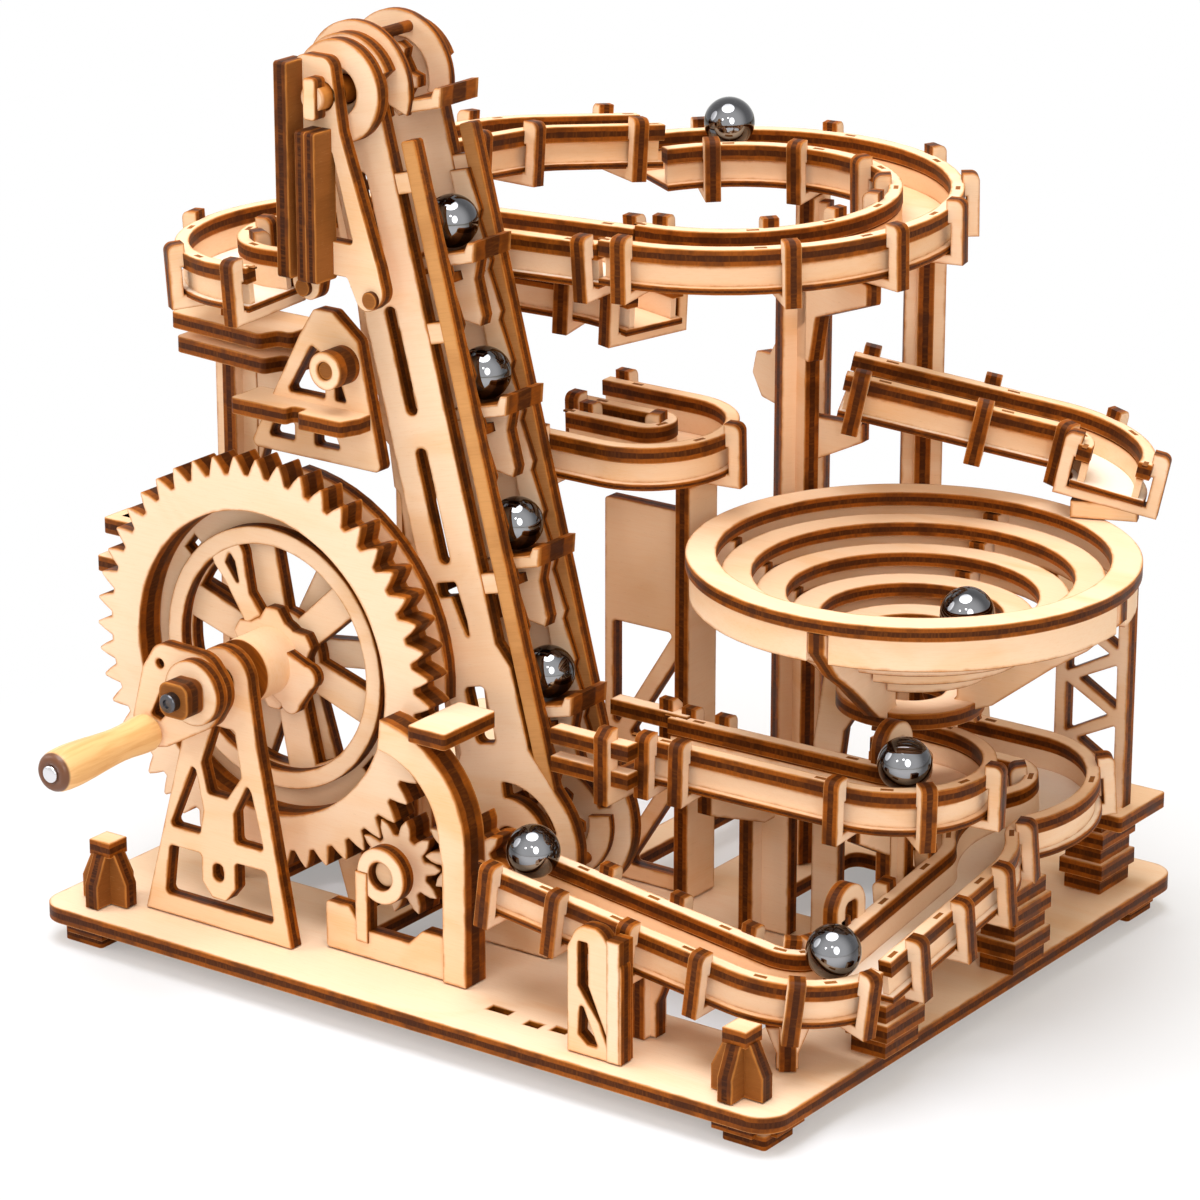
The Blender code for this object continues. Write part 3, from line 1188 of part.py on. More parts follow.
def rim_leg(track):
    """The leg under the last clip, down to the rim of the funnel."""
    distance = track.points[-1][3] - 3
    x, y, high = track.under(distance)
    low = FUNNEL_Z + FIT
    return [board([box(-8, 0, 8, high + FIT + OVERLAP - low)], PLY - 0.4,
                  upright(x, y, low, heading_at(track, distance) + 90))]


def centre_over_origin():
    """Move every piece by the same amount, so that the origin lies on the table below the middle of the run."""
    bpy.context.view_layer.update()
    points = [obj.matrix_world @ vertex.co for obj in parts.objects for vertex in obj.data.vertices]
    middle = [(min(p[axis] for p in points) + max(p[axis] for p in points)) / 2 for axis in (0, 1)]
    for obj in parts.objects:
        obj.location -= Vector((*middle, 0))


SUPPORTS = {
    "long": rim_leg,
    "loop": loop_supports,
    "side": side_supports,
    "front": lambda track: leg_boards(track, 52) + leg_boards(track, 15, 7.0),
}

base()
ornament("corner_ornament_left", -94, -80)
ornament("corner_ornament_right", 94, -82)
for track_name, track_made in TRACKS.items():
    build_track(track_name, track_made, SUPPORTS[track_name](track_made) if track_name in SUPPORTS else ())
drive()
crank()
gear_pair()
lift_plate(True)
lift_plate(False)
chain()
stands()
tower()
loop_shelf()
funnel()
posts()
k_bracket()
lattice_tower()
balls()
centre_over_origin()
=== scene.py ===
import json
import math
import random

import bpy
import numpy as np
from mathutils import Matrix, Vector
from mathutils.geometry import tessellate_polygon

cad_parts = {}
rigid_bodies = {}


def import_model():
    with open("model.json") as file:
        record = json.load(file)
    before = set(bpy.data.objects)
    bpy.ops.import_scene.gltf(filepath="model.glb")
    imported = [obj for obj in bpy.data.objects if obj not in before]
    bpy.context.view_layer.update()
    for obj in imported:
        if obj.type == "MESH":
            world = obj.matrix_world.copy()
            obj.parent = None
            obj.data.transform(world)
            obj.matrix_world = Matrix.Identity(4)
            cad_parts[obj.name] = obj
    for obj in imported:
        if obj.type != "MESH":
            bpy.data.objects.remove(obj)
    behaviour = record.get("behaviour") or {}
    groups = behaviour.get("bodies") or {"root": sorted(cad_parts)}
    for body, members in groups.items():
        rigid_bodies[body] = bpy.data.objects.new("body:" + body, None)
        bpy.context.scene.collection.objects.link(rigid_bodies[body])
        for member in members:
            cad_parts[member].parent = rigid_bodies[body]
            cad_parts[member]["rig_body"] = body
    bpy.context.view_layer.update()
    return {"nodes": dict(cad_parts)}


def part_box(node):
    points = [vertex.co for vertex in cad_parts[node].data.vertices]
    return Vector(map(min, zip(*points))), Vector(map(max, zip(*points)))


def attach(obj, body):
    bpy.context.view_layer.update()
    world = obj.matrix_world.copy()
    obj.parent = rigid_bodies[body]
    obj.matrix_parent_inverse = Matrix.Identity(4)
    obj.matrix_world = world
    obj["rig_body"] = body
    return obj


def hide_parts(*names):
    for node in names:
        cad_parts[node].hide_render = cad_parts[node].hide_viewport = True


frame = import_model()
chance = random.Random(7)

MM = 0.001

# Stock and fits
PLY = 4.0
THIN_PLY = 1.6
FIT = 0.3
OVERLAP = 0.6
BALL_R = 6.35
FACET = 6.0

# What the laser leaves: a soft edge and a browned rim on the faces. The band on the walls of thin strips is
# partly laser browning and partly painted shade, a dark line along their top and bottom edges
BEVEL = 0.16
HALO_WIDE = 0.75
STRIP_BROWNING_AND_SHADE = 0.9
HALO_LEAST = 0.2
WEB_SHARE = 0.42
WIDEST_WEB = 9.0
SHARPEST_CORNER = 0.42
INSET_ROUNDS = 14

# Base
BASE_LONG = 216.0
BASE_DEEP = 182.0
FOOT_HIGH = 6.0
FOOT_SIDE = 15.0
FOOT_IN = 3.0
BASE_TOP = FOOT_HIGH + PLY
BASE_SEAT = BASE_TOP + FIT

# Track cross-section, measured from the top of the rails
RAIL_WIDE = 3.4
RAIL_APART = 11.4
WALL_HIGH = 5.2
WALL_INSET = 1.6
CLIP_OUT = 3.6
CLIP_UP = 2.2
CLIP_BASE = 2.4
TAB_FROM_CLIP = 5.5
WALL_SHORT = 0.8
TRACK_HALF = RAIL_APART / 2 + RAIL_WIDE
FLOOR_AT = PLY + WALL_HIGH
CLIP_LOW = FLOOR_AT + THIN_PLY + FIT + CLIP_BASE
BALL_SINK = math.sqrt((BALL_R + FIT) ** 2 - (RAIL_APART / 2) ** 2)

# Crank and gears
CRANK_X = -58.0
CRANK_Z = 74.5
MODULE = 2.05
GEAR_TEETH = 48
PINION_TEETH = 10
PRESSURE = math.radians(28)
BACKLASH = 0.45
GEAR_Y = -60.0
AXLE_R = 3.2
HUB_R = 8.0
CRANK_REACH = 21.0
CRANK_Y = -84.0
STAND_Y = -76.0
HANDLE_LONG = 35.0
HANDLE_R = 5.2
GEAR_R = MODULE * GEAR_TEETH / 2
PINION_R = MODULE * PINION_TEETH / 2
FLANK_POINTS = 3
TOOTH_ROUND = 0.6
RIM_INNER = GEAR_R * 0.77
WHEEL_Y = GEAR_Y + PLY * 1.5 + FIT
SPOKES = 6

# Lift
LIFT_X = 3.5
LIFT_Z = 38.0
LIFT_TILT = math.radians(14.6)
LINK_PITCH = 12.1
LINK_PITCHES = 15
CHAIN_R = 12.1
LIFT_FRONT = -45.0
LIFT_BACK = -23.0
LIFT_MID = (LIFT_FRONT + LIFT_BACK) / 2
LIFT_LONG = LINK_PITCH * LINK_PITCHES
FRAME_Y = LIFT_FRONT - PLY - 0.4
LINK_PLY = 2.0
LINK_WIDE = 6.4
PLATE_HALF = 8.6
GUIDE_WIDE = 4.0
SPROCKET_REACH = CHAIN_R - 2.6
SPROCKET_ROOT = 7.4
STRAND_FRONT = LIFT_FRONT + PLY / 2 + FIT + LINK_PLY / 2
STRAND_BACK = LIFT_BACK - PLY / 2 - FIT - LINK_PLY / 2
RUNG_LONG = STRAND_BACK - STRAND_FRONT + LINK_PLY * 0.8
SHELF_DROP = 3.4
FIRST_CARRIER = 2.6
CARRIER_EVERY = 3
CARRY_FROM, CARRY_TO = 1, 13

# Funnel
FUNNEL_X = 80.0
FUNNEL_Y = 8.0
FUNNEL_Z = 110.0
FUNNEL_RADII = (53.0, 44.7, 36.6, 28.5, 20.4)
RING_WIDE = 7.2
RING_STEP = 4.9
RING_PLY = 3.4
FUNNEL_FOOT = FUNNEL_Z - RING_STEP * len(FUNNEL_RADII)

# Places of the tracks and the main post
RING_X = 8.5
RING_Y = 37.5
RING_R = 46.5
RING_Z = 181.0
RING_START = 150.0
LOOP_R = 25.0
LOOP_X = -62.0
LOOP_NEAR = 6.0
MAIN_CLIP = 133.0
LOOP_END_X = 88.0
LOOP_END_Y = -12.0
MAIN_POST = (25.5, 42.0)
TRACK_GAP = 0.5

# Heights of the tracks at the points from which they slope
START_Z = RING_Z + 6.4
LEFT_LOOP_Z = RING_Z - 2.4
INNER_Z = 163.0
U_TURN_Z = 130.0
LONG_Z = 141.0
LOOP_Z = 68.0
SIDE_Z = 50.0
FRONT_Z = 45.0
PALE_FLOORS = ("left_loop", "long", "side")

# Shading of the meshes: edges sharper than this stay crisp
FLAT_PIECE = math.radians(24)
ROUND_PIECE = math.radians(60)

# Colours of the wood, of what the laser burns, of painted shade lines on thin strips, and of the steel with
# its painted reflection
PALE = (0.94, 0.705, 0.52)
HONEY = (0.84, 0.46, 0.19)
SMOKED_PALE = (0.30, 0.105, 0.022)
SMOKED_HONEY = (0.11, 0.032, 0.006)
BROWNED_PALE = (0.66, 0.33, 0.12)
BROWNED_HONEY = (0.26, 0.085, 0.018)
BLEACHED_PALE = (0.94, 0.85, 0.76)
BLEACHED_HONEY = (0.92, 0.76, 0.62)
CHAR = (0.062, 0.014, 0.0005)
CRUST = (0.30, 0.076, 0.005)
SMOKED_CHAR = (0.035, 0.008, 0.001)
SMOKED_CRUST = (0.15, 0.038, 0.004)
LIGHT_CHAR = (0.085, 0.020, 0.001)
LIGHT_CRUST = (0.33, 0.085, 0.007)
PORE = (0.55, 0.34, 0.16)
# Brown of the face beside a cut; on the walls of thin strips it also paints shade lines.
SCORCH_AND_SHADE_BROWN = (0.52, 0.19, 0.035)
SOOT = (0.040, 0.009, 0.001)
DARK_STREAK = (0.17, 0.043, 0.003)
WARM_STREAK = (0.18, 0.050, 0.005)
BURNT_RIM = (0.66, 0.28, 0.065)
BEECH_PALE = (0.86, 0.54, 0.24)
BEECH_DEEP = (0.74, 0.40, 0.145)
BEECH_FLECK = (0.50, 0.25, 0.09)
BEECH_BURNT = (0.13, 0.038, 0.006)
MIRROR = (0.30, 0.30, 0.31)
# Painted reflection of a dark room, for the ring of the balls between middle and rim
PAINTED_DARK_REFLECTION = (0.085, 0.085, 0.09)
BRIGHT_STEEL = (0.66, 0.66, 0.68)
BLACKENED_STEEL = (0.10, 0.10, 0.11)
SCRATCHED_STEEL = (0.35, 0.35, 0.37)


# Finishes

class Wiring:
    """Short calls for placing and joining the nodes of one tree."""

    def __init__(self, tree):
        self.tree = tree

    def node(self, kind, **values):
        made = self.tree.nodes.new(kind)
        for key, value in values.items():
            setattr(made, key, value)
        return made

    def set(self, socket, value):
        if isinstance(value, bpy.types.NodeSocket):
            self.tree.links.new(value, socket)
        elif isinstance(value, tuple) and len(value) == 3 and socket.type == "RGBA":
            socket.default_value = (*value, 1.0)
        else:
            socket.default_value = value

    def math(self, operation, first, second=0.0, clamp=False):
        made = self.node("ShaderNodeMath", operation=operation, use_clamp=clamp)
        self.set(made.inputs[0], first)
        self.set(made.inputs[1], second)
        return made.outputs[0]

    def mix(self, share, first, second):
        """The first colour turning into the second with the share."""
        made = self.node("ShaderNodeMix", data_type="RGBA")
        self.set(made.inputs[0], share)
        self.set(made.inputs[6], first)
        self.set(made.inputs[7], second)
        return made.outputs[2]

    def ramp(self, value, low, high, start=0.0, end=1.0):
        """A smooth step from one number to another while the value goes from low to high."""
        made = self.node("ShaderNodeMapRange", interpolation_type="SMOOTHSTEP")
        for socket, number in zip(made.inputs, (value, low, high, start, end)):
            self.set(socket, number)
        return made.outputs[0]

    def noise(self, vector, detail, rough, stretch, distortion=0.0):
        """Noise over places in millimetres; a small stretch draws it out along that axis."""
        moved = self.node("ShaderNodeMapping")
        self.set(moved.inputs["Vector"], vector)
        moved.inputs["Scale"].default_value = stretch
        made = self.node("ShaderNodeTexNoise")
        self.set(made.inputs["Vector"], moved.outputs[0])
        made.inputs["Scale"].default_value = 1.0
        made.inputs["Detail"].default_value = detail
        made.inputs["Roughness"].default_value = rough
        made.inputs["Distortion"].default_value = distortion
        return made.outputs["Fac"]


def new_group(name, inputs, outputs):
    """An empty shader node group with named sockets; each socket is (name, kind, value)."""
    group = bpy.data.node_groups.new(name, "ShaderNodeTree")
    kinds = {"colour": "NodeSocketColor", "number": "NodeSocketFloat", "vector": "NodeSocketVector"}
    for label, kind, value in inputs:
        socket = group.interface.new_socket(label, in_out="INPUT", socket_type=kinds[kind])
        if value is not None:
            socket.default_value = (*value, 1.0) if kind == "colour" else value
    for label, kind in outputs:
        group.interface.new_socket(label, in_out="OUTPUT", socket_type=kinds[kind])
    return group, Wiring(group)


def birch_grain_group():
    """Fine fibres along x, broad pale and honey clouds, and a few short pores."""
    group, w = new_group("birch_grain", [("Place", "vector", None), ("Tone", "number", 0.5),
                                         ("Pale", "colour", PALE), ("Honey", "colour", HONEY)],
                         [("Colour", "colour"), ("Height", "number")])
    start, end = w.node("NodeGroupInput"), w.node("NodeGroupOutput")
    place = start.outputs["Place"]
    fibres = w.noise(place, 5.0, 0.6, (0.12, 2.6, 2.6), 0.4)
    clouds = w.noise(place, 3.0, 0.5, (0.018, 0.05, 0.05), 1.2)
    pores = w.noise(place, 2.0, 0.5, (0.5, 7.0, 7.0))
    fibre_share = w.ramp(fibres, 0.42, 0.68)
    cloud_share = w.ramp(clouds, 0.46, 0.72)
    tone_share = w.math("MULTIPLY", start.outputs["Tone"], 0.34)
    share = w.math("MULTIPLY", fibre_share, 0.11)
    share = w.math("ADD", share, w.math("MULTIPLY", cloud_share, 0.34))
    share = w.math("ADD", share, tone_share, clamp=True)
    colour = w.mix(share, start.outputs["Pale"], start.outputs["Honey"])
    pore_share = w.math("MULTIPLY", w.ramp(pores, 0.66, 0.74), 0.28)
    colour = w.mix(pore_share, colour, PORE)
    w.set(end.inputs["Colour"], colour)
    w.set(end.inputs["Height"], fibres)
    return group


def scorched_plies_group():
    """The cut edge: a dark middle ply, warmer outer plies, thin glue lines, and soot in soft patches."""
    group, w = new_group("scorched_plies", [("Place", "vector", None), ("Depth", "number", 0.0),
                                            ("Middle", "colour", SOOT), ("Outer", "colour", WARM_STREAK),
                                            ("Rim", "colour", BURNT_RIM)],
                         [("Colour", "colour"), ("Height", "number"), ("Soot", "number")])
    start, end = w.node("NodeGroupInput"), w.node("NodeGroupOutput")
    place = start.outputs["Place"]
    depth = w.math("ABSOLUTE", start.outputs["Depth"])
    waver = w.noise(place, 3.0, 0.5, (0.35, 0.35, 0.35))
    depth_here = w.math("ADD", depth, w.math("MULTIPLY", w.math("SUBTRACT", waver, 0.5), 0.22))
    soot = w.noise(place, 3.0, 0.55, (0.12, 0.12, 0.12), 0.6)
    soot_share = w.ramp(soot, 0.40, 0.66)
    streaks = w.noise(place, 4.0, 0.6, (1.6, 1.6, 0.25))
    outer_share = w.math("MULTIPLY", w.ramp(streaks, 0.35, 0.7), 0.55)
    outer = w.mix(outer_share, start.outputs["Outer"], DARK_STREAK)
    middle_share = w.math("MULTIPLY", w.ramp(streaks, 0.4, 0.72), 0.6)
    middle = w.mix(middle_share, start.outputs["Middle"], WARM_STREAK)
    colour = w.mix(w.ramp(depth_here, 0.30, 0.42), middle, outer)
    colour = w.mix(w.math("MULTIPLY", soot_share, 0.62), colour, SOOT)
    clean = w.math("SUBTRACT", 1.0, w.math("MULTIPLY", soot_share, 0.5))
    rim_share = w.math("MULTIPLY", w.ramp(depth, 0.80, 0.93), clean)
    colour = w.mix(w.math("MULTIPLY", rim_share, 0.55), colour, start.outputs["Rim"])
    groove = w.ramp(w.math("ABSOLUTE", w.math("SUBTRACT", depth_here, 0.36)), 0.0, 0.07)
    w.set(end.inputs["Colour"], colour)
    w.set(end.inputs["Height"], w.math("ADD", groove, w.math("MULTIPLY", streaks, 0.6)))
    w.set(end.inputs["Soot"], soot_share)
    return group


def halo_group():
    """How far the heat of the cut has browned the face beside it; on the walls of thin strips the same
    share also paints a shade line along their top and bottom edges.
    """
    group, w = new_group("cut_halo_and_shade_line", [("Scorch", "number", 0.0), ("Place", "vector", None)],
                         [("Share", "number")])
    start, end = w.node("NodeGroupInput"), w.node("NodeGroupOutput")
    patches = w.noise(start.outputs["Place"], 3.0, 0.55, (0.22, 0.22, 0.22))
    reach = w.math("POWER", start.outputs["Scorch"], w.ramp(patches, 0.35, 0.7, 3.4, 1.3))
    w.set(end.inputs["Share"], w.math("MULTIPLY", reach, w.ramp(patches, 0.3, 0.7, 0.55, 0.95)))
    return group


def finger_marks_group():
    """Soft smears and hair scratches on polished metal."""
    group, w = new_group("finger_marks", [("Place", "vector", None)],
                         [("Smear", "number"), ("Scratch", "number")])
    start, end = w.node("NodeGroupInput"), w.node("NodeGroupOutput")
    smear = w.noise(start.outputs["Place"], 4.0, 0.6, (0.25, 0.25, 0.25), 0.8)
    scratch = w.noise(start.outputs["Place"], 2.0, 0.5, (0.3, 9.0, 3.0), 0.3)
    w.set(end.inputs["Smear"], w.ramp(smear, 0.45, 0.75))
    w.set(end.inputs["Scratch"], w.ramp(scratch, 0.62, 0.7))
    return group


GRAIN, PLIES, HALO_AND_SHADE_LINE, MARKS = birch_grain_group(), scorched_plies_group(), halo_group(), finger_marks_group()


def attribute(w, name):
    return w.node("ShaderNodeAttribute", attribute_name=name)


def new_material(name):
    made = bpy.data.materials.new(name)
    made.use_nodes = True
    tree = made.node_tree
    tree.nodes.clear()
    w = Wiring(tree)
    shader = w.node("ShaderNodeBsdfPrincipled")
    w.set(w.node("ShaderNodeOutputMaterial").inputs["Surface"], shader.outputs[0])
    return made, w, shader


def placed(w, group, **values):
    made = w.node("ShaderNodeGroup", node_tree=group)
    for label, value in values.items():
        w.set(made.inputs[label], value)
    return made


def laser_cut_ply(name, pale, honey, middle, outer, tone=1.0):
    """Birch ply as the laser leaves it: pale faces, browned rims and dark banded edges. On thin strips the
    browned rims are partly painted shade lines.
    """
    made, w, shader = new_material(name)
    place = attribute(w, "place").outputs["Vector"]
    depth = attribute(w, "depth").outputs["Fac"]
    scorch = attribute(w, "scorch").outputs["Fac"]
    tone_here = w.math("MULTIPLY", attribute(w, "tone").outputs["Fac"], tone)
    grain = placed(w, GRAIN, Place=place, Tone=tone_here, Pale=pale, Honey=honey)
    plies = placed(w, PLIES, Place=place, Depth=depth, Middle=middle, Outer=outer)
    halo = placed(w, HALO_AND_SHADE_LINE, Scorch=scorch, Place=place)
    on_wall = w.ramp(w.math("ABSOLUTE", depth), 0.995, 0.95)
    on_face = w.math("SUBTRACT", 1.0, on_wall)
    # Painted shade: on thin strips the halo share also draws a shade line along the top and bottom edges in
    # this brown.
    face = w.mix(halo.outputs["Share"], grain.outputs["Colour"], SCORCH_AND_SHADE_BROWN)
    w.set(shader.inputs["Base Color"], w.mix(on_wall, face, plies.outputs["Colour"]))
    rough = w.math("ADD", 0.52, w.math("MULTIPLY", grain.outputs["Height"], 0.16))
    wall_rough = w.math("SUBTRACT", 0.58, w.math("MULTIPLY", plies.outputs["Soot"], 0.14))
    w.set(shader.inputs["Roughness"], w.math("ADD", w.math("MULTIPLY", rough, on_face),
                                             w.math("MULTIPLY", wall_rough, on_wall)))
    shader.inputs["Specular IOR Level"].default_value = 0.12
    bump = w.node("ShaderNodeBump")
    bump.inputs["Strength"].default_value = 0.14
    bump.inputs["Distance"].default_value = 0.10 * MM
    heights = w.math("ADD", w.math("MULTIPLY", grain.outputs["Height"], on_face),
                     w.math("MULTIPLY", plies.outputs["Height"], w.math("MULTIPLY", on_wall, 1.6)))
    w.set(bump.inputs["Height"], heights)
    w.set(shader.inputs["Normal"], bump.outputs[0])
    return made


def turned_beech():
    """Waxed beech: growth rings drawn out along the grip, short flecks and a browned end ring."""
    made, w, shader = new_material("waxed_beech")
    place = attribute(w, "place").outputs["Vector"]
    scorch = attribute(w, "scorch").outputs["Fac"]
    rings = w.noise(place, 4.0, 0.55, (0.55, 0.55, 0.03), 0.6)
    flecks = w.noise(place, 2.0, 0.5, (4.5, 4.5, 0.35))
    colour = w.mix(w.ramp(rings, 0.35, 0.70), BEECH_PALE, BEECH_DEEP)
    colour = w.mix(w.math("MULTIPLY", w.ramp(flecks, 0.6, 0.75), 0.16), colour, BEECH_FLECK)
    colour = w.mix(w.ramp(scorch, 0.2, 0.9), colour, BEECH_BURNT)
    w.set(shader.inputs["Base Color"], colour)
    w.set(shader.inputs["Roughness"], w.ramp(rings, 0.3, 0.7, 0.34, 0.46))
    shader.inputs["Coat Weight"].default_value = 0.18
    shader.inputs["Coat Roughness"].default_value = 0.25
    bump = w.node("ShaderNodeBump")
    bump.inputs["Strength"].default_value = 0.05
    bump.inputs["Distance"].default_value = 0.05 * MM
    w.set(bump.inputs["Height"], rings)
    w.set(shader.inputs["Normal"], bump.outputs[0])
    return made


def polished_steel(name, colour, rough, band=None):
    """Polished metal; a band of painted reflection darkens the ring between the middle and the rim, as if a
    dark room were mirrored there.
    """
    made, w, shader = new_material(name)
    place = attribute(w, "place").outputs["Vector"]
    marks = placed(w, MARKS, Place=place)
    # Painted reflection: the colour turns dark by how squarely the surface faces the view, in place of a
    # dark room reflected in the steel.
    if band:
        facing = w.node("ShaderNodeLayerWeight").outputs["Facing"]
        ring = w.math("MULTIPLY", w.ramp(facing, 0.05, 0.30), w.ramp(facing, 0.97, 0.80))
        colour = w.mix(ring, colour, band)
    scratched = w.math("MULTIPLY", marks.outputs["Scratch"], 0.25)
    w.set(shader.inputs["Base Color"], w.mix(scratched, colour, SCRATCHED_STEEL))
    shader.inputs["Metallic"].default_value = 1.0
    smear = w.math("MULTIPLY", marks.outputs["Smear"], 0.035)
    w.set(shader.inputs["Roughness"], w.math("ADD", w.math("ADD", rough, smear),
                                             w.math("MULTIPLY", marks.outputs["Scratch"], 0.06)))
    return made


BIRCH = laser_cut_ply("laser_cut_birch", PALE, HONEY, CHAR, CRUST)
DARK_BIRCH = laser_cut_ply("smoked_birch", SMOKED_PALE, SMOKED_HONEY, SMOKED_CHAR, SMOKED_CRUST)
BROWNED_BIRCH = laser_cut_ply("browned_birch", BROWNED_PALE, BROWNED_HONEY, LIGHT_CHAR, LIGHT_CRUST, 1.6)
BEECH = turned_beech()
# The balls' steel carries a painted dark reflection in its colour.
STEEL = polished_steel("mirror_steel", MIRROR, 0.025, PAINTED_DARK_REFLECTION)
PIN_STEEL = polished_steel("pin_steel", BRIGHT_STEEL, 0.16)
SCREW_STEEL = polished_steel("dark_screw_steel", BLACKENED_STEEL, 0.30)
FLOOR_CARD = laser_cut_ply("bleached_birch", BLEACHED_PALE, BLEACHED_HONEY, LIGHT_CHAR, LIGHT_CRUST)


# Outlines

def arc(x, y, radius, start, end, facet=FACET):
    steps = max(1, math.ceil(abs(end - start) / facet))
    angles = [math.radians(start + (end - start) * i / steps) for i in range(steps + 1)]
    return [(x + radius * math.cos(a), y + radius * math.sin(a)) for a in angles]


def polar(radius, degrees):
    turn = math.radians(degrees)
    return radius * math.cos(turn), radius * math.sin(turn)


def circle(x, y, radius):
    """A full circle, with finer sides on larger ones."""
    sides = 4 * math.ceil(5.5 * math.sqrt(radius))
    return arc(x, y, radius, 0, 360, min(FACET, 360 / sides))[:-1]


def rounded(points, radius):
    """The outline with each corner rounded; a corner may bring a radius of its own as a third value."""
    made = []
    count = len(points)
    for i in range(count):
        corner = Vector(points[i][:2])
        before = Vector(points[i - 1][:2]) - corner
        after = Vector(points[(i + 1) % count][:2]) - corner
        wanted = points[i][2] if len(points[i]) > 2 else radius
        angle = before.angle(after)
        if wanted <= 0 or angle > math.radians(176):
            made.append(tuple(corner))
            continue
        reach = min(wanted / math.tan(angle / 2), 0.46 * before.length, 0.46 * after.length)
        radius_here = reach * math.tan(angle / 2)
        inwards = (before.normalized() + after.normalized()).normalized()
        centre = corner + inwards * (radius_here / math.sin(angle / 2))
        first = corner + before.normalized() * reach - centre
        last = corner + after.normalized() * reach - centre
        turn = math.degrees(first.angle_signed(last))
        start = math.degrees(math.atan2(first.y, first.x))
        made += arc(centre.x, centre.y, radius_here, start, start - turn)
    return made


def box(x0, y0, x1, y1, radius=0.0):
    return rounded([(x0, y0), (x1, y0), (x1, y1), (x0, y1)], radius)


def bar(x0, y0, x1, y1, wide, radius=0.0):
    """A straight strip from one point to the other."""
    along = Vector((x1 - x0, y1 - y0)).normalized()
    side = Vector((-along.y, along.x)) * (wide / 2)
    start, end = Vector((x0, y0)), Vector((x1, y1))
    return rounded([tuple(start - side), tuple(end - side), tuple(end + side), tuple(start + side)], radius)


def slot(x0, y0, x1, y1, wide):
    return bar(x0, y0, x1, y1, wide, wide * 0.46)


# Frames: local x and y lie in the board, local z is its thickness

def frame_at(origin, x_axis, y_axis):
    x_axis, y_axis = Vector(x_axis).normalized(), Vector(y_axis).normalized()
    normal = x_axis.cross(y_axis)
    made = Matrix((x_axis, y_axis, normal)).transposed().to_4x4()
    made.translation = Vector(origin)
    return made


def facing_front(y):
    return frame_at((0, y, 0), (1, 0, 0), (0, 0, 1))


def facing_side(x, y=0.0, z=0.0):
    return frame_at((x, y, z), (0, 1, 0), (0, 0, 1))


def lying(z, x=0.0, y=0.0):
    return frame_at((x, y, z), (1, 0, 0), (0, 1, 0))


def upright(x, y, z, heading):
    """A standing board whose local x runs along the heading, in degrees from X."""
    turn = math.radians(heading)
    return frame_at((x, y, z), (math.cos(turn), math.sin(turn), 0), (0, 0, 1))


def lift_frame(y):
    """Local x points out of the carrying side of the lift and local y runs up it."""
    lean, rise = math.sin(LIFT_TILT), math.cos(LIFT_TILT)
    return frame_at((LIFT_X, y, LIFT_Z), (rise, 0, lean), (-lean, 0, rise))


UPPER_SHAFT = lift_frame(0) @ Vector((0, LIFT_LONG, 0))


# Boards

class Solid:
    """Points in millimetres, their faces, and what the finishes read at each point."""

    def __init__(self, points, faces, scorch, depth, place, look, tone):
        self.points, self.faces = points, faces
        self.scorch, self.depth, self.place = scorch, depth, place
        self.look, self.tone = look, tone


def without_repeats(points):
    kept = []
    for point in points:
        if not kept or math.dist(point, kept[-1]) > 0.02:
            kept.append(tuple(point[:2]))
    if math.dist(kept[0], kept[-1]) < 0.02:
        kept.pop()
    return kept


def sides_of(outline):
    """Each corner of an outline with the one after it."""
    return zip(outline, outline[1:] + outline[:1])


def area_of(outline):
    """The area inside an outline, negative where it runs clockwise."""
    return sum(x0 * y1 - x1 * y0 for (x0, y0), (x1, y1) in sides_of(outline)) / 2


def inset(points, depth, is_hole):
    """The outline moved into the wood by a depth; edges that would turn round are drawn together."""
    count = len(points)
    ring = np.array(points)
    steps = np.roll(ring, -1, axis=0) - ring
    side = 1.0 if (area_of(points) > 0) != is_hole else -1.0
    lengths = np.linalg.norm(steps, axis=1, keepdims=True)
    normals = side * np.stack([-steps[:, 1], steps[:, 0]], axis=1) / lengths
    before = np.roll(normals, 1, axis=0)
    middle = normals + before
    sizes = np.maximum(np.linalg.norm(middle, axis=1, keepdims=True), 1e-9)
    middle /= sizes
    reach = depth / np.maximum(np.sum(middle * normals, axis=1, keepdims=True), SHARPEST_CORNER)
    moved = ring + middle * reach
    group = list(range(count))
    for _ in range(INSET_ROUNDS):
        spans = np.roll(moved, -1, axis=0) - moved
        turned_round = [i for i in range(count) if float(np.dot(spans[i], steps[i])) < -1e-9]
        if not turned_round:
            break
        for i in turned_round:
            old, kept = group[(i + 1) % count], group[i]
            group = [kept if g == old else g for g in group]
        for kept in set(group):
            members = [i for i in range(count) if group[i] == kept]
            if len(members) > 1:
                moved[members] = moved[members].mean(axis=0)
    return [tuple(map(float, point)) for point in moved]


def narrowest(outlines):
    """The width of the narrowest web between two outlines of one board."""
    web = WIDEST_WEB
    for number, first in enumerate(outlines):
        for second in outlines[number + 1:]:
            for corners, others in ((first, second), (second, first)):
                start = np.array(others)
                along = np.roll(start, -1, axis=0) - start
                away = np.array(corners)[:, None] - start
                share = np.clip((away * along).sum(2) / (along ** 2).sum(1), 0, 1)
                web = min(web, np.linalg.norm(away - share[..., None] * along, axis=2).min())
    return web


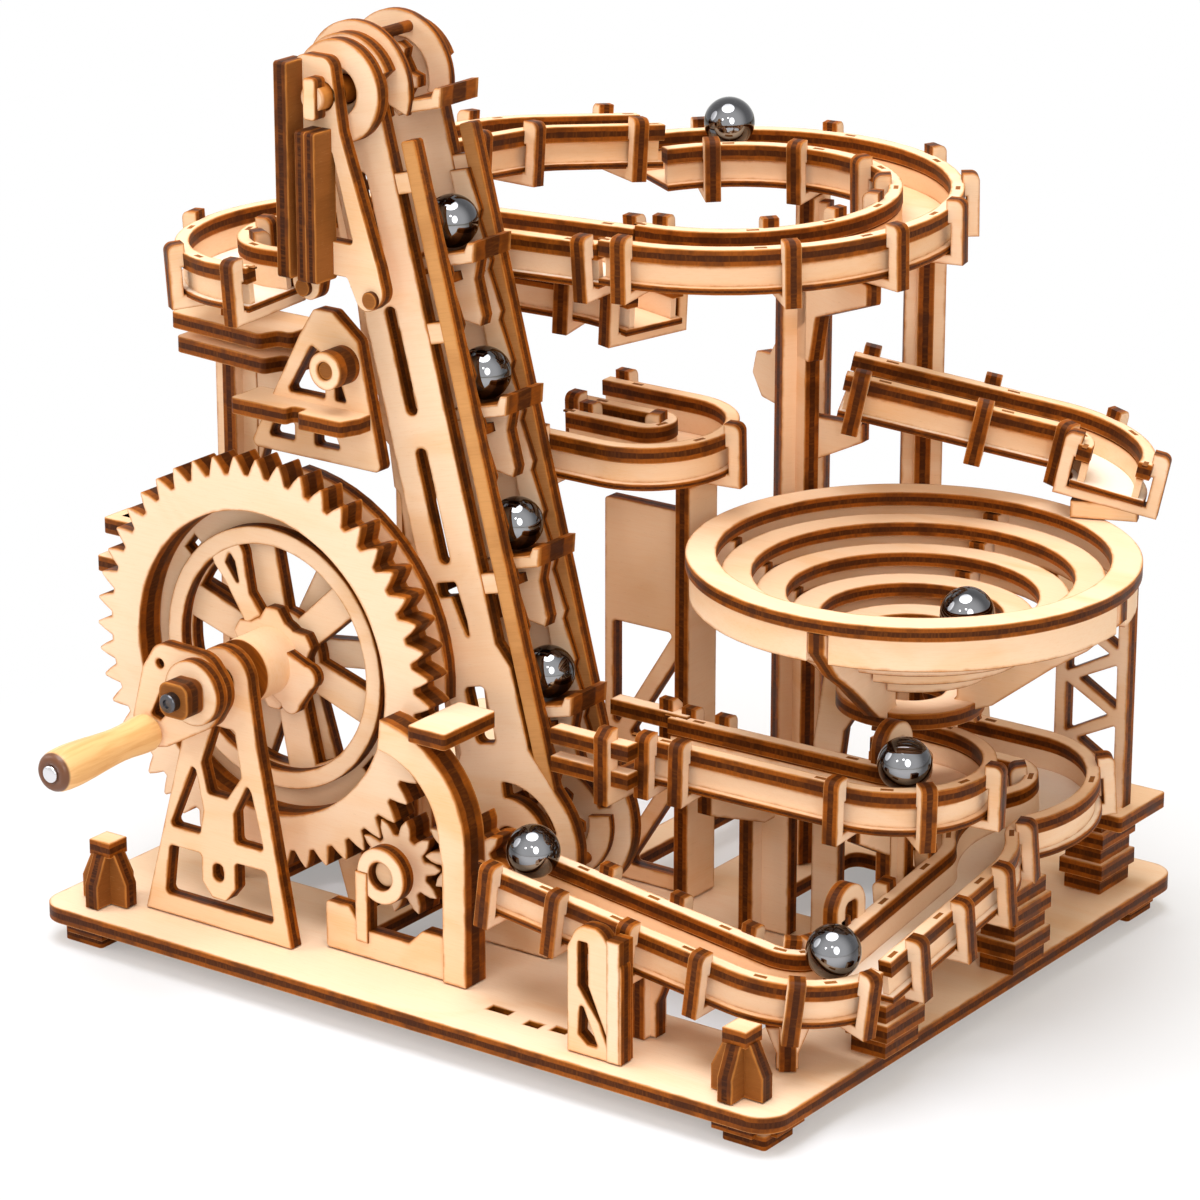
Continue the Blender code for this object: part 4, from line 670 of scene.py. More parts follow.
def board(outlines, thick, place, look=None, edge=BEVEL, bent=False):
    """A flat board cut along the outlines: the first is its edge and the others are its holes.

    A bent board is a thin strip on its edge, whose faces are the walls of the outline."""
    outlines = [without_repeats(points) for points in outlines]
    edge = min(edge, thick * 0.2)
    half = thick / 2
    way_round = sum(math.dist(a, b) for a, b in sides_of(outlines[0]))
    between_cuts = max(HALO_LEAST, WEB_SHARE * narrowest(outlines) - edge)
    halo = min(HALO_WIDE, 0.5 * abs(area_of(outlines[0])) / way_round, between_cuts)
    strip_browning_and_shade = min(STRIP_BROWNING_AND_SHADE, thick * 0.3)
    points, scorch, faces, caps = [], [], [], []

    def level(ring, height, dark):
        """A ring of points at one height, in which points that fall together are one."""
        base = len(points)
        index, kept = [], {}
        for x, y in ring:
            key = (round(x, 4), round(y, 4))
            if key not in kept:
                kept[key] = base + len(kept)
                points.append(Vector((x, y, height)))
                scorch.append(dark)
            index.append(kept[key])
        return index

    def band(lower, upper, inside_out):
        """The faces between two rings."""
        for i in range(len(lower)):
            k = (i + 1) % len(lower)
            ring = [lower[i], lower[k], upper[k], upper[i]]
            ring = [v for n, v in enumerate(ring) if v != ring[n - 1]]
            if len(ring) > 2:
                faces.append(ring[::-1] if inside_out else ring)

    for number, outline in enumerate(outlines):
        inside_out = (area_of(outline) < 0) == (number == 0)
        rim = inset(outline, edge, number > 0)
        brown = inset(outline, edge + halo, number > 0)
        low, high = level(outline, edge - half, 1.0), level(outline, half - edge, 1.0)
        if bent:
            # Painted shade: the band along the top and bottom of a strip's walls is partly laser browning
            # and partly a painted shade line.
            above = level(outline, half - edge - strip_browning_and_shade, 0.0)
            below = level(outline, edge - half + strip_browning_and_shade, 0.0)
            band(low, below, inside_out)
            band(below, above, inside_out)
            band(above, high, inside_out)
        else:
            band(low, high, inside_out)
        low_rim, high_rim = level(rim, -half, 1.0), level(rim, half, 1.0)
        band(high, high_rim, inside_out)
        band(low_rim, low, inside_out)
        low_in, high_in = level(brown, -half, 0.0), level(brown, half, 0.0)
        band(high_rim, high_in, inside_out)
        band(low_in, low_rim, inside_out)
        caps.append((brown, low_in, high_in))
    flat, low_flat, high_flat = [], [], []
    loops = []
    for brown, low_in, high_in in caps:
        loop = []
        for place_on_rim, low_index, high_index in zip(brown, low_in, high_in):
            if high_flat and loop and high_flat[-1] == high_index:
                continue
            loop.append(Vector((*place_on_rim, 0)))
            flat.append(Vector((*place_on_rim, 0)))
            low_flat.append(low_index)
            high_flat.append(high_index)
        loops.append(loop)
    for a, b, c in tessellate_polygon(loops):
        if (flat[b] - flat[a]).cross(flat[c] - flat[a]).z < 0:
            b, c = c, b
        for ring in ((high_flat[a], high_flat[b], high_flat[c]), (low_flat[c], low_flat[b], low_flat[a])):
            if len(set(ring)) == 3:
                faces.append(list(ring))
    offset = Vector((chance.uniform(0, 400), chance.uniform(0, 400), chance.uniform(0, 400)))
    if bent:
        depth = [1.0 if abs(p.z) <= half - edge + 1e-6 else 0.4 for p in points]
        grain = [Vector((p.x + p.y, p.z, 0.3 * (p.x - p.y))) + offset for p in points]
    else:
        depth = [p.z / half for p in points]
        grain = [p + offset for p in points]
    return Solid([place @ p for p in points], faces, scorch, depth, grain, look, chance.random())


def turned(profile, place, sides=48, look=None, scorched=()):
    """A turned piece: the profile is (radius, height) from its lower to its upper end on the axis."""
    points, faces, scorch = [], [], []
    rings = []
    for radius, height in profile:
        dark = 1.0 if any(low <= height <= high for low, high in scorched) else 0.0
        if radius < 1e-6:
            rings.append([len(points)])
            points.append(Vector((0, 0, height)))
            scorch.append(dark)
            continue
        rings.append(list(range(len(points), len(points) + sides)))
        for i in range(sides):
            turn = 2 * math.pi * i / sides
            points.append(Vector((radius * math.cos(turn), radius * math.sin(turn), height)))
            scorch.append(dark)
    for low, high in zip(rings, rings[1:]):
        for i in range(sides):
            k = i + 1
            ring = [low[i % len(low)], low[k % len(low)], high[k % len(high)], high[i % len(high)]]
            ring = [v for n, v in enumerate(ring) if v != ring[n - 1]]
            if len(ring) > 2:
                faces.append(ring)
    offset = Vector((chance.uniform(0, 90), chance.uniform(0, 90), chance.uniform(0, 90)))
    grain = [p + offset for p in points]
    placed = [place @ p for p in points]
    return Solid(placed, faces, scorch, [0.0] * len(points), grain, look, chance.random())


def along_y(x, z, y):
    """A frame whose local z runs towards the front, for discs and shafts on an axis along Y."""
    return frame_at((x, y, z), (1, 0, 0), (0, 0, 1))


def shaft(x, z, y_front, y_back, radius):
    """A round bar along Y."""
    return board([circle(0, 0, radius)], y_back - y_front, along_y(x, z, (y_front + y_back) / 2))


PLATE_LOW, PLATE_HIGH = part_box("base_plate")
SHIFT = Vector(((PLATE_LOW.x + PLATE_HIGH.x) / 2, (PLATE_LOW.y + PLATE_HIGH.y) / 2, 0)) / MM


def piece(name, solids, look=BIRCH, smooth=False):
    """The finished piece that stands for one node of the frame."""
    looks = []
    points, faces, picks = [], [], []
    scorch, depth, place, tone = [], [], [], []
    for solid in solids:
        own = solid.look or look
        if own not in looks:
            looks.append(own)
        base = len(points)
        points += solid.points
        faces += [[base + i for i in face] for face in solid.faces]
        picks += [looks.index(own)] * len(solid.faces)
        scorch += solid.scorch
        depth += solid.depth
        place += solid.place
        tone += [solid.tone] * len(solid.points)
    mesh = bpy.data.meshes.new(name + "_boards")
    mesh.from_pydata([(p + SHIFT) * MM for p in points], [], faces)
    for material in looks:
        mesh.materials.append(material)
    mesh.polygons.foreach_set("material_index", picks)
    for label, values in (("scorch", scorch), ("depth", depth), ("tone", tone)):
        mesh.attributes.new(label, "FLOAT", "POINT").data.foreach_set("value", values)
    grain_place = mesh.attributes.new("place", "FLOAT_VECTOR", "POINT")
    grain_place.data.foreach_set("vector", np.array(place, np.float32).ravel())
    mesh.polygons.foreach_set("use_smooth", [True] * len(mesh.polygons))
    mesh.set_sharp_from_angle(angle=ROUND_PIECE if smooth else FLAT_PIECE)
    obj = bpy.data.objects.new(name + "_boards", mesh)
    bpy.context.scene.collection.objects.link(obj)
    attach(obj, frame["nodes"][name]["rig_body"])
    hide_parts(name)


# Base

def base_plate():
    half_x, half_y = BASE_LONG / 2, BASE_DEEP / 2
    edge = box(-half_x, -half_y, half_x, half_y, 7)
    windows = [
        box(-74, -44, -44, -18, 3),
        box(-31, -63, -13, -14, 3),
        box(26, -56, 78, -16, 4),
        box(-84, 12, -14, 74, 4),
        box(-6, 18, 14, 70, 3),
        box(36, 12, 68, 54, 3),
        box(20, -78, 26, -75.5),
        box(32, -80, 36, -77.5),
        box(39, -79, 43, -76.5),
    ]
    piece("base_plate", [board([edge, *windows], PLY, lying(FOOT_HIGH + PLY / 2))])


def feet():
    """A square of board under each corner of the plate, and a notched one between them."""
    layer = (FOOT_HIGH - FIT) / 2
    big = FOOT_SIDE / 2
    small = big - 1.6
    notched = big - 4.0
    away_x, away_y = BASE_LONG / 2 - FOOT_IN - big, BASE_DEEP / 2 - FOOT_IN - big
    for name_x, sign_x in (("left", -1), ("right", 1)):
        for name_y, sign_y in (("front", -1), ("back", 1)):
            x, y = sign_x * away_x, sign_y * away_y
            square = box(-small, -small, small, small, 1)
            lower = board([square], layer + OVERLAP, lying((layer + OVERLAP) / 2, x, y))
            cross = [(-big, -notched), (-notched, -notched), (-notched, -big), (big, -big),
                     (big, notched), (notched, notched), (notched, big), (-big, big)]
            if sign_x * sign_y < 0:
                cross = [(-px, py) for px, py in reversed(cross)]
            upper = board([cross], layer, lying(layer * 1.5, x, y))
            piece(f"foot_{name_y}_{name_x}", [lower, upper])


def ornament(name, x, y):
    """Two interlocked shouldered boards and a small cap, at a front corner of the base."""
    high, half, neck = 13.0, 7.0, 3.6
    bend = high * 0.45
    shoulder = [(-half, 0), (half, 0), (half, bend), (neck, high), (-neck, high), (-half, bend)]
    inner = [(px * 0.98, py * 0.99) for px, py in shoulder]
    boards = [board([shoulder], PLY, upright(x, y, BASE_SEAT, 0), DARK_BIRCH),
              board([inner], PLY, upright(x, y, BASE_SEAT, 90), DARK_BIRCH),
              board([box(-3.2, -3.2, 3.2, 3.2)], PLY, lying(BASE_SEAT + high + PLY / 2 - OVERLAP, x, y))]
    piece(name, boards)


# Tracks

def route(start, heading, moves):
    """Points along a path of straights and turns, each as (x, y, heading, distance)."""
    x, y = start
    angle = math.radians(heading)
    gone = 0.0
    points = [(x, y, angle, gone)]
    for kind, *values in moves:
        if kind == "go":
            x += values[0] * math.cos(angle)
            y += values[0] * math.sin(angle)
            gone += values[0]
            points.append((x, y, angle, gone))
            continue
        radius, degrees = values
        steps = max(1, math.ceil(abs(degrees) / FACET - 1e-6))
        step = math.radians(degrees / steps)
        side = math.copysign(1, degrees)
        centre_x, centre_y = x - side * radius * math.sin(angle), y + side * radius * math.cos(angle)
        for _ in range(steps):
            angle += step
            x, y = centre_x + side * radius * math.sin(angle), centre_y - side * radius * math.cos(angle)
            gone += abs(step) * radius
            points.append((x, y, angle, gone))
    return points


def length(points):
    return points[-1][3]


def ribbon(points, inner, outer):
    """The outline between two offsets from the path; positive is left of travel."""
    left = [(x - outer * math.sin(a), y + outer * math.cos(a)) for x, y, a, _ in points]
    right = [(x - inner * math.sin(a), y + inner * math.cos(a)) for x, y, a, _ in points]
    return left + right[::-1]


def at(points, distance):
    for (x0, y0, a0, d0), (x1, y1, a1, d1) in zip(points, points[1:]):
        if distance <= d1 + 1e-6:
            share = (distance - d0) / (d1 - d0)
            return x0 + (x1 - x0) * share, y0 + (y1 - y0) * share, a0 + (a1 - a0) * share
    return points[-1][:3]


def trimmed(points, start, end):
    """The path between two distances."""
    inside = [p for p in points if start + 0.01 < p[3] < end - 0.01]
    return [(*at(points, start), start), *inside, (*at(points, end), end)]


def tilted(x, y, z, slope_x, slope_y):
    """The plane of a track, from its height at (x, y) and its slopes; places in plan stay the same."""
    normal = Vector((-slope_x, -slope_y, 1)).normalized()
    turn = Vector((0, 0, 1)).rotation_difference(normal).to_matrix().to_4x4()
    return Matrix.Translation((x, y, z)) @ turn @ Matrix.Translation((-x, -y, 0))


def clip_outline(gap):
    """A U shaped clip that hugs both rails and passes under the floor."""
    out, under = TRACK_HALF + CLIP_OUT, -(FLOOR_AT + THIN_PLY + gap)
    free = TRACK_HALF + max(gap, 0.5)
    hold = TRACK_HALF - OVERLAP
    half = [(out, -CLIP_LOW), (out, CLIP_UP, 2.4), (hold, CLIP_UP), (hold, -PLY + 0.5),
            (free, -PLY + 0.5), (free, under)]
    return rounded(half + [(-x, *rest) for x, *rest in reversed(half)], 0)


class Track:
    """A track in one plane: two rails, a floor with two low walls, and clips at the given distances."""

    def __init__(self, plane, points, clips, fused):
        self.plane, self.points, self.clips = plane, points, clips
        self.gap = -OVERLAP if fused else FIT
        self.fused = fused

    def rails(self):
        low = RAIL_APART / 2
        boards = []
        for inner, outer in ((low, TRACK_HALF), (-TRACK_HALF, -low)):
            place = self.plane @ Matrix.Translation((0, 0, -PLY / 2))
            boards.append(board([ribbon(self.points, inner, outer)], PLY, place))
        for distance in self.clips:
            boards.append(board([clip_outline(self.gap)], PLY, self.across(distance)))
        return boards + self.tab_ends()

    def tab_ends(self):
        """The burnt ends of the floor walls' tabs, as thin dark plates on the tops of the rails."""
        tabs = []
        for distance in self.clips:
            x, y, angle = at(self.points, distance + TAB_FROM_CLIP)
            for side in (-1, 1):
                out = side * (RAIL_APART / 2 + RAIL_WIDE * 0.5)
                tab = Matrix.Translation((x - out * math.sin(angle), y + out * math.cos(angle), -0.2))
                place = self.plane @ tab @ Matrix.Rotation(angle, 4, "Z")
                tabs.append(board([box(-1.5, -0.6, 1.5, 0.6)], 0.5, place, DARK_BIRCH, 0.04))
        return tabs

    def across(self, distance):
        """The frame of a board that stands across the track."""
        x, y, angle = at(self.points, distance)
        local = frame_at((x, y, 0), (-math.sin(angle), math.cos(angle), 0), (0, 0, 1))
        return self.plane @ local

    def floor(self, look=None):
        inside = TRACK_HALF - WALL_INSET
        path = trimmed(self.points, WALL_SHORT, length(self.points) - WALL_SHORT)
        top = -PLY - self.gap
        high = FLOOR_AT - OVERLAP * 0.5 + top + OVERLAP
        mid = top - high / 2
        under = self.plane @ Matrix.Translation((0, 0, -FLOOR_AT - THIN_PLY / 2))
        boards = [board([ribbon(self.points, -TRACK_HALF, TRACK_HALF)], THIN_PLY, under, look)]
        wall = self.plane @ Matrix.Translation((0, 0, mid))
        for inner, outer in ((inside - THIN_PLY, inside), (-inside, THIN_PLY - inside)):
            boards.append(board([ribbon(path, inner, outer)], high, wall, bent=True))
        return boards

    def point(self, distance, height=0.0):
        x, y, _ = at(self.points, distance)
        return self.plane @ Vector((x, y, height))

    def under(self, distance):
        """Where a post may stand below the clip at this distance."""
        x, y, z = self.point(distance, -CLIP_LOW)
        return x, y, z - FIT


def build_track(name, track, supports=()):
    floor = track.floor(FLOOR_CARD if name in PALE_FLOORS else None)
    if track.fused:
        piece(f"{name}_track", track.rails() + floor + list(supports))
    else:
        piece(f"{name}_rails", track.rails() + list(supports))
        piece(f"{name}_floor", floor)


def on_ring(degrees):
    x, y = polar(RING_R, degrees)
    return RING_X + x, RING_Y + y


def make_tracks():
    """The tracks by name, each with its slopes, its path and the places of its clips."""
    found = {}
    begin = on_ring(RING_START)
    heading = RING_START - 90
    ring = route(begin, heading, [("turn", RING_R, -240)])
    found["upper_ring"] = Track(tilted(RING_X, RING_Y, RING_Z, 0.0, 0.03), ring,
                                [14, 42, 70, 92, 112, MAIN_CLIP, 156, length(ring) - 6], False)
    back = math.radians(heading)
    lead = 27.0
    run = (begin[0] - lead * math.cos(back), begin[1] - lead * math.sin(back))
    start = route(run, heading + 180, [("turn", 34.0, 30), ("go", 28.0)])
    start = [(x, y, a - math.pi, length(start) - d) for x, y, a, d in reversed(start)]
    start = start + [(*begin, back, length(start) + lead)]
    found["start"] = Track(tilted(*begin, START_Z, 0, -0.09), trimmed(start, 0, length(start) - TRACK_GAP),
                           [8, 30, length(start) - 8.5], True)
    exit_x, exit_y = on_ring(-90)
    loop = route((exit_x - TRACK_GAP, exit_y), 180,
                 [("go", exit_x - TRACK_GAP - LOOP_X), ("turn", LOOP_R, 180), ("go", LOOP_NEAR)])
    found["left_loop"] = Track(tilted(exit_x, exit_y, LEFT_LOOP_Z, 0.045, 0.04), loop,
                               [3, 62, 88, 112, 134, length(loop) - 3], True)
    inner = route((-44, 8), 12, [("go", 26), ("turn", 40, -24), ("go", 6)])
    found["inner"] = Track(tilted(-44, 8, INNER_Z, -0.05, 0), inner, [4, 26, length(inner) - 4], True)
    u_turn = route((-20, 17.6), 0, [("go", 27), ("turn", 12.4, -180), ("go", 20)])
    found["u_turn"] = Track(tilted(0, 0, U_TURN_Z, 0, 0.04), u_turn, [4, 45, length(u_turn) - 4], True)
    long = route((40, 42), 26, [("go", 52), ("turn", 15.0, -98), ("go", 2)])
    found["long"] = Track(tilted(40, 42, LONG_Z, -0.2, -0.05), long, [4, 34, 60, length(long) - 3], False)
    low = route((LOOP_END_X - 10, LOOP_END_Y + 15), 0, [("go", 10), ("turn", 15, -176), ("go", 55)])
    found["loop"] = Track(tilted(LOOP_END_X, LOOP_END_Y, LOOP_Z, -0.02, 0), low,
                          [5, 31, 44, 57, 98, length(low) - 4], False)
    bends = [("turn", 16, -90), ("turn", 16, -36), ("turn", 16, 36), ("turn", 16, 36), ("turn", 16, -36)]
    side = route((61, 52), 0, [("go", 26), *bends, ("go", 49)])
    found["side"] = Track(tilted(61, 52, SIDE_Z, 0, 0.15), side,
                          [5, 40, 74, 94, 112, length(side) - 9], True)
    end_x, end_y, _, _ = side[-1]
    front = route((end_x, end_y - TRACK_GAP), -90, [("turn", 16, -90), ("go", 70)])
    found["front"] = Track(tilted(end_x - 88, end_y - 16, FRONT_Z, -0.125, 0), front,
                           [4, 15, 32, 52, 72, 91], False)
    return found


TRACKS = make_tracks()


# Crank drive

def involute(radius):
    return math.tan(math.acos(radius)) - math.acos(radius)


def gear_outline(teeth, turn):
    """Involute teeth, rounded at the root, with the backlash taken off each flank."""
    pitch = MODULE * teeth / 2
    base = pitch * math.cos(PRESSURE)
    tip = pitch + 0.92 * MODULE
    root = pitch - 1.18 * MODULE
    start = max(base, root + 0.25)
    half = math.pi / 2 / teeth - BACKLASH / 2 / pitch
    reference = involute(math.cos(PRESSURE))
    points = []
    for tooth in range(teeth):
        middle = turn + 2 * math.pi * tooth / teeth
        side = []
        for i in range(FLANK_POINTS):
            radius = start + (tip - start) * i / (FLANK_POINTS - 1)
            angle = half + reference - involute(base / radius)
            side.append((radius, angle))
        gap = math.pi / teeth
        foot = min(side[0][1] + 0.3 * (gap - side[0][1]), gap * 0.9)
        profile = [(root, -foot), *[(r, -a) for r, a in side], *side[::-1], (root, foot)]
        points += [(r * math.cos(middle + a), r * math.sin(middle + a)) for r, a in profile]
    return rounded(points, TOOTH_ROUND)


def pinion_centres():
    """The idler and the lift gear: the idler meshes with the crank gear and with the lift gear."""
    gap_x, gap_z = LIFT_X - CRANK_X, LIFT_Z - CRANK_Z
    apart = math.hypot(gap_x, gap_z)
    first, second = GEAR_R + PINION_R, 2 * PINION_R
    swing = math.acos((first ** 2 + apart ** 2 - second ** 2) / (2 * first * apart))
    angle = math.atan2(gap_z, gap_x) - swing
    return CRANK_X + first * math.cos(angle), CRANK_Z + first * math.sin(angle), angle


IDLER_X, IDLER_Z, MESH_ANGLE = pinion_centres()
IDLER_TURN = MESH_ANGLE + math.pi + math.pi / PINION_TEETH
HANDLE_AT = polar(CRANK_REACH, 219)


def on_axle(y):
    return along_y(CRANK_X, CRANK_Z, y)


def crank_gear_rim():
    outline = gear_outline(GEAR_TEETH, MESH_ANGLE)
    piece("crank_gear_rim", [board([outline, circle(0, 0, RIM_INNER)], PLY * 2, on_axle(GEAR_Y))])


def wheel_windows():
    """Wide windows between the spokes, and short slots near the rim."""
    windows = []
    step = 360 / SPOKES
    for i in range(SPOKES):
        middle = step * i + 12
        outer = arc(0, 0, RIM_INNER * 0.735, middle - step / 2 + 9, middle + step / 2 - 9)
        inner = arc(0, 0, RIM_INNER * 0.31, middle + step / 2 - 20, middle - step / 2 + 20)
        windows.append(outer + inner)
    for i in range(SPOKES):
        x, y = polar(RIM_INNER * 0.93, step * i + 20)
        half_x, half_y = polar(2.4, step * i + 110)
        windows.append(bar(x + half_x, y + half_y, x - half_x, y - half_y, 2.6))
    return windows


def crank_gear_wheel():
    """The spoked wheel behind the rim, with its hoop, star washer, two levers and the axle's sleeve."""
    bore = circle(0, 0, AXLE_R + FIT)
    before = on_axle(WHEEL_Y - PLY + OVERLAP)
    back = board([circle(0, 0, RIM_INNER + 3.0), bore, *wheel_windows()], PLY, on_axle(WHEEL_Y))
    hoop = board([circle(0, 0, RIM_INNER * 0.865), circle(0, 0, RIM_INNER * 0.75)], PLY, before)
    star = []
    for i in range(12):
        star += arc(0, 0, 12.8 if i % 2 else 10.4, 30 * i - 8, 30 * i + 8)
    washer = board([star, bore], PLY, before)
    sleeve = board([circle(0, 0, HUB_R), bore], 14, on_axle(WHEEL_Y - 10), bent=True)
    crook = [(-8.2, 7.2), (-14.5, 17), (-17.6, 20.5), *arc(-13.4, 23.4, 5.0, 200, 0),
             (-7.0, 15), (-3.2, 10.2)]
    eye = [(-14.2, 21.5), (-12.8, 24.4), (-11.2, 22.4), (-9.6, 15.4)]
    arm = board([rounded(crook, 0.8), rounded(eye, 0.5)], PLY - 0.2, before)
    lobes = arc(12.6, -1.5, 3.0, -60, 90) + arc(0, 0, 6.6, 50, 270) + arc(7.6, -8.6, 3.0, 200, 350)
    lever = board([rounded(lobes, 0.5), bore], PLY - 0.4, on_axle(WHEEL_Y - 2 * PLY + 2 * OVERLAP))
    piece("crank_gear_wheel", [back, hoop, washer, arm, lever, sleeve])


def crank_axle():
    """The axle with its octagonal end plug and the screw in it."""
    plug_y = CRANK_Y - PLY * 1.5 + OVERLAP - FIT - 3.0
    plug = board([rounded(box(-4.3, -4.3, 4.3, 4.3), 2.5)], 6.0, on_axle(plug_y))
    rod = shaft(CRANK_X, CRANK_Z, plug_y - 2.0, GEAR_Y + 16.0, AXLE_R)
    screw = turned([(0, 0), (2.3, 0), (2.3, 2.6), (2.1, 2.9), (1.7, 3.0), (1.1, 3.0), (0.9, 2.5), (0, 2.5)],
                   on_axle(plug_y - 2.4), 32, SCREW_STEEL)
    piece("crank_axle", [rod, plug, screw], DARK_BIRCH)


def crank_arm():
    """The openwork arm between the axle and the handle, and the disc in front of it."""
    hole = circle(0, 0, AXLE_R + FIT)
    pin_x, pin_z = -12.2, 4.0
    tip_x, tip_z = HANDLE_AT
    edge = rounded([(2.5, 8.6, 6), (pin_x - 1, pin_z + 5.2, 4.4), (pin_x - 5.6, pin_z - 2, 3.4),
                    (tip_x - 5, tip_z + 2, 3), (tip_x - 2.5, tip_z - 5.4, 3.4),
                    (tip_x + 5.5, tip_z - 3.6, 3), (3.5, -8.8, 7), (9.0, 0, 7)], 0)
    window = rounded([(pin_x + 0.6, pin_z - 5.4), (-7.0, -4.6), (-12.6, -10.4), (-15.6, -9.6)], 0.7)
    arm = board([edge, hole, circle(pin_x, pin_z, 1.2), window], PLY, on_axle(CRANK_Y))
    disc = board([circle(0, 0, HUB_R), hole], PLY, on_axle(CRANK_Y - PLY + OVERLAP))
    piece("crank_arm", [arm, disc])


def crank_handle():
    """The turned grip with its burnt end ring, and the head of the pin on which it turns."""
    x, z = CRANK_X + HANDLE_AT[0] + 0.5, CRANK_Z + HANDLE_AT[1] - 0.5
    seat = CRANK_Y - PLY / 2 - FIT
    long, wide = HANDLE_LONG, HANDLE_R
    shape = [(0, 0), (3.7, 0), (4.3, 0.5), (4.55, 1.4), (4.6, 3.0), (4.45, 5.5), (4.2, 8.5), (4.12, 11),
             (4.22, 14), (4.5, 18), (4.85, 22), (wide - 0.1, long * 0.73), (wide, long * 0.8),
             (wide - 0.05, long - 4), (wide - 0.25, long - 2), (wide - 0.6, long - 0.9),
             (wide - 1.0, long - 0.3), (wide - 1.5, long), (2.4, long), (2.2, long - 0.3), (0, long - 0.3)]
    grip = turned(shape, along_y(x, z, seat), 64, scorched=((long - 0.95, long + 0.1),))
    pin = turned([(0, -0.5), (2.1, -0.5), (2.1, 0.35), (1.95, 0.6), (1.6, 0.75), (0, 0.8)],
                 along_y(x, z, seat - long), 40, PIN_STEEL)
    piece("crank_handle", [grip, pin], BEECH, smooth=True)


def idler_gear():
    gear = board([gear_outline(PINION_TEETH, IDLER_TURN)], PLY * 2, along_y(IDLER_X, IDLER_Z, GEAR_Y))
    pin = shaft(IDLER_X, IDLER_Z, GEAR_Y - PLY - 5.4, GEAR_Y + PLY + 8.2, AXLE_R)
    piece("idler_gear", [gear, pin])


def lower_lift_shaft():
    """The lift gear and the lower sprocket on their shaft; the gear's teeth fall into the idler's gaps."""
    towards = math.atan2(LIFT_Z - IDLER_Z, LIFT_X - IDLER_X)
    pitch = 2 * math.pi / PINION_TEETH
    turn = towards + math.pi + pitch / 2 + (towards - IDLER_TURN) % pitch
    gear = board([gear_outline(PINION_TEETH, turn)], PLY * 2, along_y(LIFT_X, LIFT_Z, GEAR_Y))
    rod = shaft(LIFT_X, LIFT_Z, GEAR_Y, LIFT_BACK + PLY + 3, AXLE_R)
    piece("lower_lift_shaft", [gear, rod] + sprocket(LIFT_X, LIFT_Z))


def upper_lift_shaft():
    x, z = UPPER_SHAFT.x, UPPER_SHAFT.z
    rod = shaft(x, z, LIFT_FRONT - 14.5, LIFT_BACK + PLY + 3, AXLE_R)
    cross = board([box(-1.8, -4.9, 1.8, 4.9, 1.0)], 4, along_y(x, z, LIFT_FRONT - 13.5))
    piece("upper_lift_shaft", [rod, cross] + sprocket(x, z))


def sprocket(x, z):
    """Two star wheels on a drum between the chain's two strands."""
    outline = []
    for i in range(6):
        outline += [polar(SPROCKET_ROOT, 60 * i - 16), *arc(0, 0, SPROCKET_REACH, 60 * i - 8, 60 * i + 8),
                    polar(SPROCKET_ROOT, 60 * i + 16)]
    wheels = [board([outline], PLY * 0.8, along_y(x, z, LIFT_MID + side * 3.6)) for side in (-1, 1)]
    return wheels + [board([circle(0, 0, 5.6)], 10, along_y(x, z, LIFT_MID))]


# Lift

def lift_plate(front):
    """One side plate of the lift with its slots; the front one has the disc round the upper shaft."""
    y = LIFT_FRONT if front else LIFT_BACK
    half = PLATE_HALF
    edge = [*arc(0, 0, 20.0, -200, 28), (11.6, 22), (11.6, 42), (half, 48), (half, LIFT_LONG),
            *arc(0, LIFT_LONG, 13.0, 10, 172), (-half - 0.6, LIFT_LONG - 8), (-half - 0.6, 22)]
    holes = [circle(0, 0, AXLE_R + FIT), circle(0, LIFT_LONG, AXLE_R + FIT)]
    for start, end in ((142, 162), (104, 130), (68, 96)):
        holes.append(slot(-1.2, start, -1.2, end, 3.4))
    holes.append(box(-3.6, 24, 2.4, 38, 1.4))
    holes.append(rounded([(-5.2, 60), (-1.6, 60), (-0.4, 54), (1.2, 48), (1.6, 54), (0.6, 63.6),
                          (-5.2, 63.6)], 0.8))
    holes.append(rounded(arc(0, 0, 14.6, 4, 84) + arc(0, 0, 10.6, 84, 4), 0.8))
    foot = box(LIFT_X - 12, BASE_SEAT, LIFT_X + 11, LIFT_Z - 12)
    boards = [board([edge, *holes], PLY, lift_frame(y)), board([foot], PLY - 0.4, facing_front(y))]
    for height in (12.0, 60.0, 120.0, LIFT_LONG - 26.0):
        boards.append(board([box(half - 1.5, height, 14.2, height + 5.0)], PLY * 0.8, lift_frame(y)))
    guide = bar(14.5, 8, 14.5, LIFT_LONG - 14, GUIDE_WIDE, 0.8)
    boards.append(board([guide], PLY * 0.9, lift_frame(y), BROWNED_BIRCH))
    if front:
        disc = [circle(0, LIFT_LONG, 12.2), circle(0, LIFT_LONG, AXLE_R + 2.6)]
        boards.append(board(disc, PLY, lift_frame(LIFT_FRONT - PLY + OVERLAP)))
        apart = LIFT_BACK - LIFT_FRONT - PLY - FIT + OVERLAP
        for height in (50.0, 134.0):
            boards.append(board([box(-7.4, height, -3.4, height + 5)], apart,
                                lift_frame(LIFT_MID - OVERLAP / 2 - FIT / 2)))
    piece("lift_plate_front" if front else "lift_plate_back", boards)


def strand(y, start, end, side):
    """One straight row of C shaped links on one side of the lift."""
    outer, wide = [], LINK_WIDE / 2
    for i in range(start, end):
        low = i * LINK_PITCH
        outer += [(side * (CHAIN_R + wide - 1.2), low), (side * (CHAIN_R + wide), low + 2.0)]
    outer.append((side * (CHAIN_R + wide - 1.2), end * LINK_PITCH))
    inner = [(side * (CHAIN_R - wide), end * LINK_PITCH), (side * (CHAIN_R - wide), start * LINK_PITCH)]
    return board([outer + inner], LINK_PLY, lift_frame(y))


